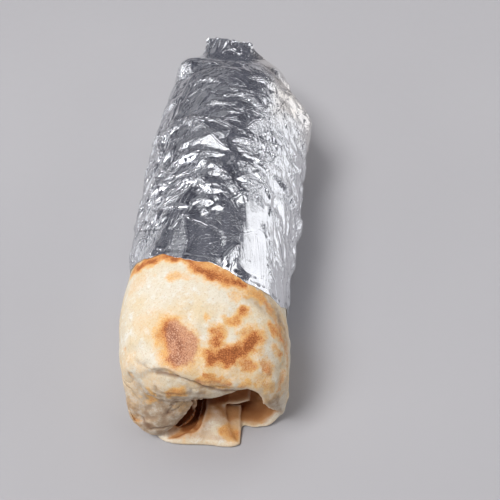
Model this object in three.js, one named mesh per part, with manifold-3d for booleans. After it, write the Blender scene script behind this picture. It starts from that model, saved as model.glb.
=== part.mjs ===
// A rolled flatbread wrap lying on its side, with its far three quarters in a crumpled foil sleeve.
// Millimetres, +Z up. The roll runs along Y, with its open folded end at -Y, and rests on Z = 0.
import * as THREE from 'three';
import { mergeVertices } from 'three/addons/utils/BufferGeometryUtils.js';
import Module from 'manifold-3d';

const wasm = await Module();
wasm.setup();

// Driving dimensions
const breadThickness = 2.4;
const breadEnd = 94;        // the far end of the roll, inside the foil
const capStart = 62;        // where the far end starts to round off
const roundness = 2.3;      // 2 is an ellipse, more is squarer
const restingFlat = 2.4;    // how far the underside is pressed flat
const lumpMiddle = 28;      // the height that the folded end's lumps swell away from
const foilGap = 0.45;       // between the bread and the foil
const foilThickness = 0.5;  // the sleeve's folded layers together
const foilWrinkle = 1.3;    // the height of the crumpling
const flapBulge = 3.6;      // how far the loose overlap stands off the right flank
const sleeveStart = 76;     // where the sleeve's straight part begins at its far end
const breadColumns = 70;
const foilColumns = 56;
const sleeveRows = 33;

// The roll's half width, height and sideways drift at stations along Y
const rollStations = [
  { y: -97, half: 34.2, top: 51.5, drift: -0.5 },
  { y: -86, half: 35.2, top: 55.5, drift: -1.3 },
  { y: -72, half: 34.9, top: 57.5, drift: -2.7 },
  { y: -52, half: 34.6, top: 57.5, drift: -1.8 },
  { y: -30, half: 35.3, top: 57.6, drift: -1.3 },
  { y: 0, half: 36.6, top: 57.8, drift: -0.1 },
  { y: 30, half: 36.8, top: 57.8, drift: 0.6 },
  { y: 50, half: 36.0, top: 57.5, drift: 1.4 },
  { y: 76, half: 34.0, top: 56.0, drift: 0.6 },
  { y: 96, half: 31.5, top: 52.0, drift: -1.5 },
];

const radians = THREE.MathUtils.degToRad;
const smooth = THREE.MathUtils.smoothstep;
const vector = (x, y, z) => new THREE.Vector3(x, y, z);
const curveThrough = (points) => new THREE.CatmullRomCurve3(points.map((p) => vector(...p)));
const angleOf = (turn) => radians(360 * turn - 90);

// A value between stations, on a smooth curve through them
function along(stations, key, y) {
  const last = stations.length - 1;
  if (y <= stations[0].y) return stations[0][key];
  if (y >= stations[last].y) return stations[last][key];
  const i = stations.findIndex((s) => s.y > y);
  const [a, b] = [stations[i - 1], stations[i]];
  const before = stations[Math.max(0, i - 2)];
  const after = stations[Math.min(last, i + 1)];
  const span = b.y - a.y;
  const t = (y - a.y) / span;
  const slopeA = ((b[key] - before[key]) / (b.y - before.y)) * span;
  const slopeB = ((after[key] - a[key]) / (after.y - a.y)) * span;
  const [t2, t3] = [t * t, t * t * t];
  return (2 * t3 - 3 * t2 + 1) * a[key] + (t3 - 2 * t2 + t) * slopeA
    + (3 * t2 - 2 * t3) * b[key] + (t3 - t2) * slopeB;
}

// Smooth noise in -1..1, from a seeded hash of the lattice corners
function hash(i, j, k) {
  const n = Math.sin(i * 127.1 + j * 311.7 + k * 74.7) * 43758.5453;
  return 2 * (n - Math.floor(n)) - 1;
}
function noise(x, y, z) {
  const [i, j, k] = [Math.floor(x), Math.floor(y), Math.floor(z)];
  const fade = (t) => t * t * (3 - 2 * t);
  const [u, v, w] = [fade(x - i), fade(y - j), fade(z - k)];
  let sum = 0;
  for (let corner = 0; corner < 8; corner++) {
    const [a, b, c] = [corner & 1, (corner >> 1) & 1, corner >> 2];
    sum += hash(i + a, j + b, k + c) * (a ? u : 1 - u) * (b ? v : 1 - v) * (c ? w : 1 - w);
  }
  return sum;
}

// Soft lumps of the folded end, none on the flat underside or where the foil begins
function lumps(p) {
  const broad = 0.9 * noise(p.x / 21 + 3.1, p.y / 24, p.z / 19);
  const small = 0.4 * noise(p.x / 9, p.y / 10 + 7, p.z / 9);
  const amount = broad + small;
  const out = p.clone().sub(vector(0, Math.max(p.y, -92), lumpMiddle)).normalize();
  return out.multiplyScalar(amount * smooth(p.z, 1, 12) * (1 - smooth(p.y, -90, -75)));
}

// A point of the roll at a turn round it (0 underneath, 0.25 right, 0.5 on top), grown outwards
function rollPoint(turn, y, grow = 0) {
  const section = (by) => {
    const cap = y > capStart ? (y - capStart) / (breadEnd + by - capStart) : 0;
    const shrink = Math.pow(Math.max(0, 1 - Math.pow(cap, roundness)), 1 / roundness);
    const half = (along(rollStations, 'half', y) + by) * shrink;
    const centre = (along(rollStations, 'top', y) - restingFlat) / 2;
    const tall = (centre + restingFlat + by) * shrink;
    const [c, s] = [Math.cos(angleOf(turn)), Math.sin(angleOf(turn))];
    const squared = (value) => Math.sign(value) * Math.pow(Math.abs(value), 2 / roundness);
    return vector(half * squared(c) + along(rollStations, 'drift', y), y, centre + tall * squared(s));
  };
  const bed = (foilGap + foilThickness) * smooth(y, -66, -55);
  const p = section(grow).add(lumps(section(0)));
  p.z = Math.max(p.z, bed - grow, 0);
  return p;
}
const rollRing = (y, grow) => (turn) => rollPoint(turn, y, grow);

// The rings of the rounded far end, from the straight part outwards
function capRings(grow) {
  const length = breadEnd + grow - capStart;
  const shares = [0.25, 0.5, 0.72, 0.9];
  return shares.map((share) => rollRing(capStart + length * Math.sin(share * Math.PI / 2), grow));
}

const pole = (grow) => () => vector(-1.5, breadEnd + grow, 25);

// A closed curve through points given at even steps round the roll, starting underneath
function ring(points) {
  const curve = new THREE.CatmullRomCurve3(points.map((p) => vector(...p)), true, 'catmullrom', 0.5);
  return (turn) => curve.getPoint(((turn % 1) + 1) % 1);
}

// Rows between rings, on smooth curves from ring to ring, with steps[i] rows up to ring i
function loft(rings, steps, isStraight = () => false) {
  const rows = [rings[0]];
  for (let i = 1; i < rings.length; i++) {
    for (let k = 1; k <= steps[i]; k++) {
      const t = k / steps[i];
      const after = rings[Math.min(rings.length - 1, i + 1)];
      const near = [rings[Math.max(0, i - 2)], rings[i - 1], rings[i], after];
      rows.push((turn) => {
        const points = near.map((f) => f(turn).clone());
        if (t === 1) return points[2];
        if (isStraight(i)) return points[1].lerp(points[2], t);
        if (points[0].distanceTo(points[1]) < 0.01) points[0].sub(points[2]).add(points[1]);
        if (points[3].distanceTo(points[2]) < 0.01) points[3].sub(points[1]).add(points[2]);
        return new THREE.CatmullRomCurve3(points, false, 'centripetal').getPoint((1 + t) / 3);
      });
    }
  }
  return rows;
}

// A closed shape on a ball's grid, whose first and last rows are points
function wrapBall(columns, rows) {
  const geometry = new THREE.SphereGeometry(1, columns, rows.length - 1);
  const position = geometry.getAttribute('position');
  for (let i = 0; i < position.count; i++) {
    const p = rows[Math.floor(i / (columns + 1))](((i % (columns + 1)) % columns) / columns);
    position.setXYZ(i, p.x, p.y, Math.max(p.z, 0));
  }
  return geometry;
}

// A sheet bent out of a box: place(u, v, w) has u and v across it and w through it, all 0..1
function bentSheet(columns, rows, layers, place) {
  const geometry = new THREE.BoxGeometry(1, 1, 1, columns, rows, layers);
  const position = geometry.getAttribute('position');
  for (let i = 0; i < position.count; i++) {
    const p = place(position.getX(i) + 0.5, position.getY(i) + 0.5, position.getZ(i) + 0.5);
    position.setXYZ(i, p.x, p.y, p.z);
  }
  return geometry;
}

function solidOf(geometry) {
  const bare = geometry.clone();
  bare.deleteAttribute('normal');
  bare.deleteAttribute('uv');
  const merged = mergeVertices(bare, 1e-4);
  const position = merged.getAttribute('position');
  const faces = [];
  for (let i = 0; i < merged.index.count; i += 3) {
    const [a, b, c] = [0, 1, 2].map((k) => merged.index.getX(i + k));
    if (a !== b && b !== c && a !== c) faces.push([a, b, c]);
  }
  const build = (list) => new wasm.Manifold(new wasm.Mesh({
    numProp: 3, vertProperties: new Float32Array(position.array), triVerts: new Uint32Array(list.flat()),
  }));
  const solid = build(faces);
  return solid.volume() > 0 ? solid : build(faces.map(([a, b, c]) => [a, c, b]));
}

function geometryOf(solid) {
  const mesh = solid.getMesh();
  const geometry = new THREE.BufferGeometry();
  geometry.setAttribute('position', new THREE.BufferAttribute(new Float32Array(mesh.vertProperties), 3));
  geometry.setIndex(new THREE.BufferAttribute(new Uint32Array(mesh.triVerts), 1));
  geometry.computeVertexNormals();
  return geometry;
}

// The bread's skin: up the roll, round the opening's edge and back into the hollow
function breadSkin() {
  const nose = ring([
    [0, -102, 0], [15, -100, 0], [28, -98.5, 2], [34, -97.5, 12], [33.2, -101, 26], [26, -105, 38],
    [10, -105.3, 45.6], [-4, -104.6, 48], [-19, -101.5, 45.6], [-30.5, -100.5, 37],
    [-32.4, -103.5, 21], [-27.3, -108.6, 4.2],
  ]);
  const brow = ring([
    [0, -104.5, 0], [14.5, -104, 0], [27, -103.4, 0.7], [33, -101.4, 10], [30.8, -106.2, 20.5],
    [25.5, -108.8, 32], [12.5, -109.8, 41.6], [0, -109.4, 44.2], [-12.5, -106.8, 46], [-24, -106.4, 37.5],
    [-17, -110, 21], [-21, -113.2, 4],
  ]);
  const rim = ring([
    [0, -106, 1.2], [7, -105.6, 1.2], [14, -105.5, 1.2], [20, -106.2, 1.3], [26, -105.8, 2],
    [30.5, -104, 5], [31.4, -104.8, 10], [30.2, -107, 14.6], [26.4, -108.6, 19.5],
    [23.6, -109.2, 25], [22, -109.5, 30.5], [19.2, -110, 36], [12.8, -110.7, 38.2],
    [7, -111, 39.2], [0.8, -110.9, 40.3], [-4.6, -110.4, 42], [-9.5, -109.4, 44.2],
    [-13.6, -107.6, 44.6], [-16, -105.6, 38], [-12, -106, 30], [-4, -107.4, 23.5],
    [-5.6, -108.8, 17], [-9.8, -110.2, 9.6], [-15.8, -112.6, 2.4],
  ]);
  const inner = ring([
    [-1, -104, 2.4], [10, -103.5, 2.4], [23, -103, 2.8], [29, -102.5, 8], [28.4, -103.5, 16],
    [24.5, -104.5, 25], [18, -106, 32.5], [7, -106, 34], [-4, -105, 34], [-9, -103.5, 26],
    [-9, -105, 15], [-13, -107.5, 5],
  ]);
  const deep = ring([
    [0, -95, 2.8], [10, -95, 2.8], [21, -95, 3.2], [27, -95, 9], [27, -95, 17], [23, -96, 25],
    [16, -96, 30], [5, -96, 30.5], [-5, -96, 28], [-9, -96, 21], [-10, -96, 12], [-8, -96, 5],
  ]);
  const floor = () => vector(8, -89, 15);
  const body = [capStart, 46, 28, 8, -14, -34, -50, -60].map((y) => rollRing(y));
  const straight = [-60, -70, -84, -96].map((y) => rollRing(y));
  const rings = [...straight, nose, brow, rim, inner, deep, floor];
  const front = loft(rings, [0, 2, 3, 3, 4, 4, 3, 3, 2, 2], (i) => rings[i] === inner);
  return wrapBall(breadColumns, [pole(0), ...capRings(0).reverse(), ...body, ...front.slice(1)]);
}

// The second layer, rolled forward under the top one's lip and fading into the left side
function cuff() {
  const rows = [
    [[-27, -95, 36], [-22, -98, 40], [-14, -102, 42.5], [-4, -105, 42.5], [6, -105.5, 41],
      [14, -105, 39], [22, -104, 37]],
    [[-29, -96.5, 35], [-23.5, -103.2, 39], [-14, -107.2, 42], [-4, -109, 40.8], [6, -109, 38.6],
      [13, -108.6, 37], [21, -107, 35]],
    [[-30.5, -99, 31], [-24, -107.2, 33], [-14, -111.4, 34.5], [-4, -111.6, 34.2], [5, -110.8, 34],
      [12, -109.8, 35], [20, -108.2, 35]],
    [[-30, -100, 26], [-23.5, -108, 27.4], [-15, -111, 28.2], [-9.5, -110.9, 27.2], [-3, -110.4, 28],
      [6, -109.7, 29.4], [12.5, -109.2, 33.2], [20, -108, 34.2]],
  ].map(curveThrough);
  return bentSheet(22, 7, 2, (u, v, w) => {
    const p = new THREE.CatmullRomCurve3(rows.map((row) => row.getPoint(u))).getPoint(v);
    const rounded = v === 1 ? 1 - 0.6 * Math.abs(2 * w - 1) : 1;
    return p.add(vector(0, breadThickness * (1 - w), -0.8 * (1 - rounded)));
  });
}

// The lowest layer, which lies on the ground and sticks out furthest
function bottomLip() {
  const front = curveThrough([[-21, -110.5, 0], [-17.2, -113.9, 0], [-9, -115.3, 0], [-0.5, -115, 0],
    [7.4, -115.5, 0], [12.6, -115.2, 0], [14.9, -114, 0]]);
  const back = curveThrough([[-20, -103, 0], [0, -99, 0], [14.9, -99, 0]]);
  return bentSheet(16, 4, 1, (u, v, w) => {
    const p = back.getPoint(u).lerp(front.getPoint(u), v);
    p.z = 0.2 + w * (2.0 - 0.5 * v);
    return p;
  });
}

// A pleat that comes out of the hollow and spreads over the bottom lip
function tongue() {
  const left = new THREE.CubicBezierCurve3(
    vector(-1.2, -90, 0), vector(-2.2, -102, 0), vector(-1.5, -111.5, 0), vector(-15.5, -114, 0));
  const right = new THREE.CubicBezierCurve3(
    vector(7, -90, 0), vector(8, -101, 0), vector(9.5, -108, 0), vector(13.4, -114.4, 0));
  return bentSheet(8, 8, 1, (u, v, w) => {
    const p = left.getPoint(v).lerp(right.getPoint(v), u);
    const rise = 2.3 + 9.5 * Math.pow(1 - v, 1.6);
    const crown = (0.4 + 1.9 * (1 - v)) * Math.sin(Math.PI * u);
    p.z = w > 0.5 ? rise + crown : 1.0;
    return p;
  });
}

// The flat strip that runs down to the lip's corner beside the pleat
function sideStrip() {
  return bentSheet(3, 6, 1, (u, v, w) => {
    const y = -98 - 15.6 * v;
    const x = 7 + 7.8 * u;
    return vector(x, y, w > 0.5 ? 1.8 + 4.6 * Math.pow(1 - v, 1.2) - 0.5 * u : 0.9);
  });
}

// An inner layer of the roll, curving up behind the left flap
function innerLayer() {
  const path = curveThrough([[-19, -110, 2], [-12.5, -109.3, 3.4], [-7.2, -107.6, 7],
    [-4.6, -105.6, 13], [-4.6, -103.6, 22]]);
  return bentSheet(9, 4, 1, (u, v, w) => {
    const tangent = path.getTangent(u);
    const across = vector(-tangent.z, 0, tangent.x).normalize();
    return path.getPoint(u).addScaledVector(across, 1.9 * (w - 0.5)).add(vector(-1.5 * v, 14 * v, 2.5 * v));
  });
}

// A short strip of bread that turns over inside the hollow
function curledStrip() {
  const path = curveThrough([[6.5, -99.5, 6.5], [10, -100.5, 9.6], [14, -101, 11.6], [18.4, -100.5, 12.8]]);
  return bentSheet(7, 5, 1, (u, v, w) => {
    const lift = 4.5 * Math.sin(v * Math.PI / 2) + 1.8 * (w - 0.5);
    return path.getPoint(u).add(vector(0.6 * v, 14 * v - 1.2 * (w - 0.5), lift));
  });
}

function breadGeometry() {
  const sheets = [cuff, bottomLip, tongue, sideStrip, innerLayer, curledStrip];
  return geometryOf(sheets.reduce((all, sheet) => all.add(solidOf(sheet())), solidOf(breadSkin())));
}

// Where the sleeve's open edge lies along Y, at even steps round the roll, starting underneath
const mouthEdge = [-52, -53, -57, -62.5, -70.5, -73.5, -64.5, -59.5, -56.5, -51, -44.5, -50];
function mouthAt(turn) {
  const place = turn * mouthEdge.length;
  const [i, t] = [Math.floor(place), smooth(place % 1, 0, 1)];
  return mouthEdge[i % mouthEdge.length] * (1 - t) + mouthEdge[(i + 1) % mouthEdge.length] * t;
}

// How far the foil stands off the roll: sharp ridges between flat facets, and the loose overlap
function crumple(turn, y) {
  const p = rollPoint(turn, Math.min(y, capStart));
  const ridge = (x, z, w) => Math.pow(1 - Math.abs(noise(x, z, w)), 3);
  const coarse = ridge(p.x / 15 + y / 40, y / 19 - p.x / 40, p.z / 14);
  const fine = ridge(p.x / 8 + 9, y / 10, p.z / 8 + 4);
  const around = (turn - 0.285) / 0.055;
  const flap = Math.exp(-around * around) * smooth(y, 28, 44) * (1 - smooth(y, 60, 76));
  const calm = smooth(y, mouthAt(turn), mouthAt(turn) + 10);
  return foilWrinkle * calm * (0.7 * coarse + 0.4 * fine) + flapBulge * flap;
}

// The sleeve: from its pinched tail over the shoulders, down to its open edge and back inside to the end
function foilGeometry() {
  const shoulder = ring([
    [0, 97, 0], [16, 97, 0.8], [26, 96, 8], [29, 95, 26], [27.2, 93.5, 39.5], [18, 91, 46.8],
    [-2, 88, 50.8], [-16, 86.5, 52], [-27, 88, 49], [-32, 92, 31], [-29, 96, 9], [-16, 97, 0.8],
  ]);
  const back = ring([
    [1, 103, 5], [11, 104, 7], [19, 104, 13], [23, 104, 26], [23, 102.3, 37], [16.5, 100.7, 43],
    [-1, 99.5, 45.2], [-13, 98, 47.4], [-21.5, 98.6, 43.6], [-24, 103, 28], [-20, 104, 13], [-10, 103, 7],
  ]);
  const tailRoot = ring([
    [0, 107, 26], [8, 107.5, 27], [14, 108, 29], [18, 107, 35], [17, 106, 39.3], [8, 106, 42.2],
    [-3, 106, 44], [-11, 105, 44.8], [-17, 104.4, 43.6], [-18.7, 106, 38], [-14, 107, 30], [-7, 107, 27],
  ]);
  const tail = ring([
    [-3, 113, 43.2], [3, 113, 42.8], [7.5, 112.8, 42.2], [10, 112.8, 43], [9, 113.4, 44.2],
    [4, 114, 45.4], [-3, 114.6, 46.4], [-9, 114.9, 47], [-14, 115, 47.2], [-16.3, 114.4, 46],
    [-14, 113.6, 44.6], [-8, 113.2, 43.8],
  ]);
  const tip = () => vector(-3.5, 115.4, 45.2);
  const outside = (turn, y) => rollPoint(turn, y, foilGap + foilThickness + crumple(turn, y));
  const start = (turn) => outside(turn, sleeveStart);
  const end = loft([tip, tail, tailRoot, back, shoulder, start], [0, 1, 3, 3, 3, 3]);
  const down = Array.from({ length: sleeveRows }, (_, i) => (turn) =>
    outside(turn, sleeveStart + (mouthAt(turn) - sleeveStart) * (i + 1) / sleeveRows));
  const up = [0, 0.1, 0.25, 0.4, 0.55, 0.7, 0.85, 1].map((share) => (turn) =>
    rollPoint(turn, mouthAt(turn) + (capStart - mouthAt(turn)) * share, foilGap));
  return wrapBall(foilColumns, [...end, ...down, ...up, ...capRings(foilGap), pole(foilGap)]);
}

function named(name, geometry, material) {
  const mesh = new THREE.Mesh(geometry, material);
  mesh.name = name;
  return mesh;
}

const toastedBread = new THREE.MeshStandardMaterial({ color: 0xe3cda6, roughness: 0.85, metalness: 0 });
const foilMetal = new THREE.MeshStandardMaterial({ color: 0xc8c9cd, roughness: 0.25, metalness: 1 });

const wrap = new THREE.Group();
wrap.add(
  named('flatbread', breadGeometry(), toastedBread),
  named('foil', geometryOf(solidOf(foilGeometry())), foilMetal),
);

// The origin is under the middle of the whole
const box = new THREE.Box3().setFromObject(wrap);
wrap.position.set(-(box.min.x + box.max.x) / 2, -(box.min.y + box.max.y) / 2, 0);

export default wrap;
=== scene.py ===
import math

import bmesh
import bpy
import numpy as np
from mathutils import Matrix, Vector
from mathutils.bvhtree import BVHTree


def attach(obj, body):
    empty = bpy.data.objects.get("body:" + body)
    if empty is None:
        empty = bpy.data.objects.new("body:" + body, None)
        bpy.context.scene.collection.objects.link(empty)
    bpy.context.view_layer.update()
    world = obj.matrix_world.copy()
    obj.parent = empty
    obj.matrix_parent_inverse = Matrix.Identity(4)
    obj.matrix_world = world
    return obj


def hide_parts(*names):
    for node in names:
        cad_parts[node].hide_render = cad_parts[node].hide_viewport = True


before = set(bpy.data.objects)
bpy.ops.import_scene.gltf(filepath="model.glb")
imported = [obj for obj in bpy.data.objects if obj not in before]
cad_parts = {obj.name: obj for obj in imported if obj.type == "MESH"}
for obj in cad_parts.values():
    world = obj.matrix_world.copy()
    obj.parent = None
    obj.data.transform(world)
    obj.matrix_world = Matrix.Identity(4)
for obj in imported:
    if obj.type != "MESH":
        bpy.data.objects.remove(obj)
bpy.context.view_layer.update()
print("frame loaded")

milli = 0.001  # shapes are worked out in millimetres and put into the meshes in metres
rng = np.random.default_rng(7)


# Tools for arrays of points

def softStep(value, low, high):
    t = np.clip((value - low) / (high - low), 0, 1)
    return t * t * (3 - 2 * t)


# A fixed random number from -1 to 1 for each corner of a grid
def cornerValue(i, j, k, seed):
    n = (i * 73856093) ^ (j * 19349663) ^ (k * 83492791) ^ (seed * 40503 + 977)
    n = (n ^ (n >> 13)) & 0xFFFFFFFF
    n = (n * 1274126177) & 0xFFFFFFFF
    n = (n ^ (n >> 16)) & 0xFFFFFFFF
    return n / 2147483647.5 - 1


# Smooth noise from -1 to 1, with lumps about as wide as size
def cloud(points, size, seed=0):
    place = points / size + 37.0
    cell = np.floor(place).astype(np.int64)
    t = place - cell
    t = t * t * t * (t * (t * 6 - 15) + 10)
    total = np.zeros(len(points))
    for corner in range(8):
        a, b, c = corner & 1, (corner >> 1) & 1, corner >> 2
        share = (t[:, 0] if a else 1 - t[:, 0]) * (t[:, 1] if b else 1 - t[:, 1])
        share = share * (t[:, 2] if c else 1 - t[:, 2])
        total += share * cornerValue(cell[:, 0] + a, cell[:, 1] + b, cell[:, 2] + c, seed)
    return total


# Noise made of flat triangles that meet at sharp edges, from -1 to 1
def facetCloud(u, v, seed):
    i, j = np.floor(u).astype(np.int64), np.floor(v).astype(np.int64)
    fu, fv = u - i, v - j
    corner = [[cornerValue(i + a, j + b, 0, seed) for b in (0, 1)] for a in (0, 1)]
    falling = np.where(
        fu + fv < 1,
        corner[0][0] + (corner[1][0] - corner[0][0]) * fu + (corner[0][1] - corner[0][0]) * fv,
        corner[1][1] + (corner[0][1] - corner[1][1]) * (1 - fu) + (corner[1][0] - corner[1][1]) * (1 - fv))
    rising = np.where(
        fu > fv,
        corner[0][0] + (corner[1][0] - corner[0][0]) * fu + (corner[1][1] - corner[1][0]) * fv,
        corner[0][0] + (corner[1][1] - corner[0][1]) * fu + (corner[0][1] - corner[0][0]) * fv)
    return np.where(cornerValue(i, j, 1, seed) > 0, falling, rising)


# A smooth curve from a to b with the given slopes at its ends
def hermite(a, b, slopeA, slopeB, t):
    t2, t3 = t * t, t * t * t
    ends = (2 * t3 - 3 * t2 + 1) * a + (3 * t2 - 2 * t3) * b
    return ends + (t3 - 2 * t2 + t) * slopeA + (t3 - t2) * slopeB


def pointsOf(mesh):
    flat = np.empty(len(mesh.vertices) * 3, np.float32)
    mesh.vertices.foreach_get("co", flat)
    return flat.reshape(-1, 3).astype(float) / milli


def putPoints(mesh, points):
    mesh.vertices.foreach_set("co", (points * milli).astype(np.float32).ravel())
    mesh.update()


def normalsOf(mesh):
    flat = np.empty(len(mesh.vertices) * 3, np.float32)
    mesh.vertex_normals.foreach_get("vector", flat)
    return flat.reshape(-1, 3).astype(float)


# Each named array becomes an attribute of the mesh's points, for its material
def keepOnPoints(mesh, **arrays):
    for name, values in arrays.items():
        attribute = mesh.attributes.new(name, "FLOAT", "POINT")
        attribute.data.foreach_set("value", np.clip(values, 0, 1).astype(np.float32))


# Each point's mean of its neighbours, mixed in by share, again and again
def relax(points, edges, share, times):
    a, b = edges[:, 0], edges[:, 1]
    count = np.bincount(a, minlength=len(points)) + np.bincount(b, minlength=len(points))
    share = np.broadcast_to(share, len(points))[:, None]
    for _ in range(times):
        total = np.stack([
            np.bincount(a, points[b, k], len(points)) + np.bincount(b, points[a, k], len(points))
            for k in range(3)], 1)
        points = points + share * (total / count[:, None] - points)
    return points


def relaxValues(values, edges, times):
    return relax(np.stack([values] * 3, 1), edges, 0.5, times)[:, 0]


def edgesOf(mesh):
    flat = np.empty(len(mesh.edges) * 2, np.int32)
    mesh.edges.foreach_get("vertices", flat)
    return flat.reshape(-1, 2)


# How far points are from a line through corners, and where along it and on which side they are
def nearLine(points, corners):
    corners = np.array(corners, float)
    best = np.full(len(points), 1e9)
    where = np.zeros(len(points))
    side = np.zeros(len(points))
    lengths = np.linalg.norm(np.diff(corners, axis=0), axis=1)
    start = 0.0
    for a, b, length in zip(corners[:-1], corners[1:], lengths):
        t = np.clip((points - a) @ (b - a) / length ** 2, 0, 1)
        gap = points - (a + t[:, None] * (b - a))
        far = np.linalg.norm(gap, axis=1)
        closer = far < best
        best[closer] = far[closer]
        where[closer] = (start + t * length)[closer]
        if corners.shape[1] == 2:
            side[closer] = ((b - a)[0] * gap[:, 1] - (b - a)[1] * gap[:, 0])[closer]
        start += length
    return best, where / start, side


# The roll, as in the CAD model

# Along y: half its width, the height of its top and how far its middle lies to the right
roll = {
    "y": [-97, -86, -72, -52, -30, 0, 30, 50, 76, 96],
    "half": [34.2, 35.2, 34.9, 34.6, 35.3, 36.6, 36.8, 36.0, 34.0, 31.5],
    "top": [51.5, 55.5, 57.5, 57.5, 57.6, 57.8, 57.8, 57.5, 56.0, 52.0],
    "drift": [-0.5, -1.3, -2.7, -1.8, -1.3, -0.1, 0.6, 1.4, 0.6, -1.5],
    "roundness": 2.3,             # 2 would be an ellipse
    "restingFlat": 2.4,           # how much of it the ground takes off
    "capStart": 62,               # y, where the bread's far end begins to round off
    "breadEnd": 94,
    "bed": (0.95, -66, -55),      # the bread rests this high on the foil, and where it rises to that
    "gap": 0.45,                  # between the bread and the foil's inside
    "shift": (-2.006, 0.052, 0),  # puts the origin under the middle of the whole
}


def rollValue(key, y):
    places, values = np.array(roll["y"], float), np.array(roll[key], float)
    last = len(places) - 1
    i = np.clip(np.searchsorted(places, y, "right"), 1, last)
    before, after = np.maximum(i - 2, 0), np.minimum(i + 1, last)
    span = places[i] - places[i - 1]
    slopeA = (values[i] - values[before]) / (places[i] - places[before]) * span
    slopeB = (values[after] - values[i - 1]) / (places[after] - places[i - 1]) * span
    return hermite(values[i - 1], values[i], slopeA, slopeB, np.clip((y - places[i - 1]) / span, 0, 1))


# Points of the roll at turns round it: 0 underneath, 0.25 right, 0.5 on top
def rollPoints(turn, y, grow):
    turn, y, grow = np.broadcast_arrays(turn, np.asarray(y, float), grow)
    cap = np.clip((y - roll["capStart"]) / (roll["breadEnd"] + grow - roll["capStart"]), 0, 1)
    shrink = (1 - cap ** roll["roundness"]) ** (1 / roll["roundness"])
    middle = (rollValue("top", y) - roll["restingFlat"]) / 2
    angle = 2 * math.pi * turn - math.pi / 2
    across, up = np.cos(angle), np.sin(angle)
    power = 2 / roll["roundness"]
    x = (rollValue("half", y) + grow) * shrink * np.sign(across) * np.abs(across) ** power
    x = x + rollValue("drift", y)
    z = middle + (middle + roll["restingFlat"] + grow) * shrink * np.sign(up) * np.abs(up) ** power
    height, start, end = roll["bed"]
    bed = height * softStep(y, start, end)
    z = np.maximum(np.maximum(z, bed - grow), 0)
    return np.stack([x, y, z], -1) + np.array(roll["shift"])


# The foil sleeve

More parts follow.
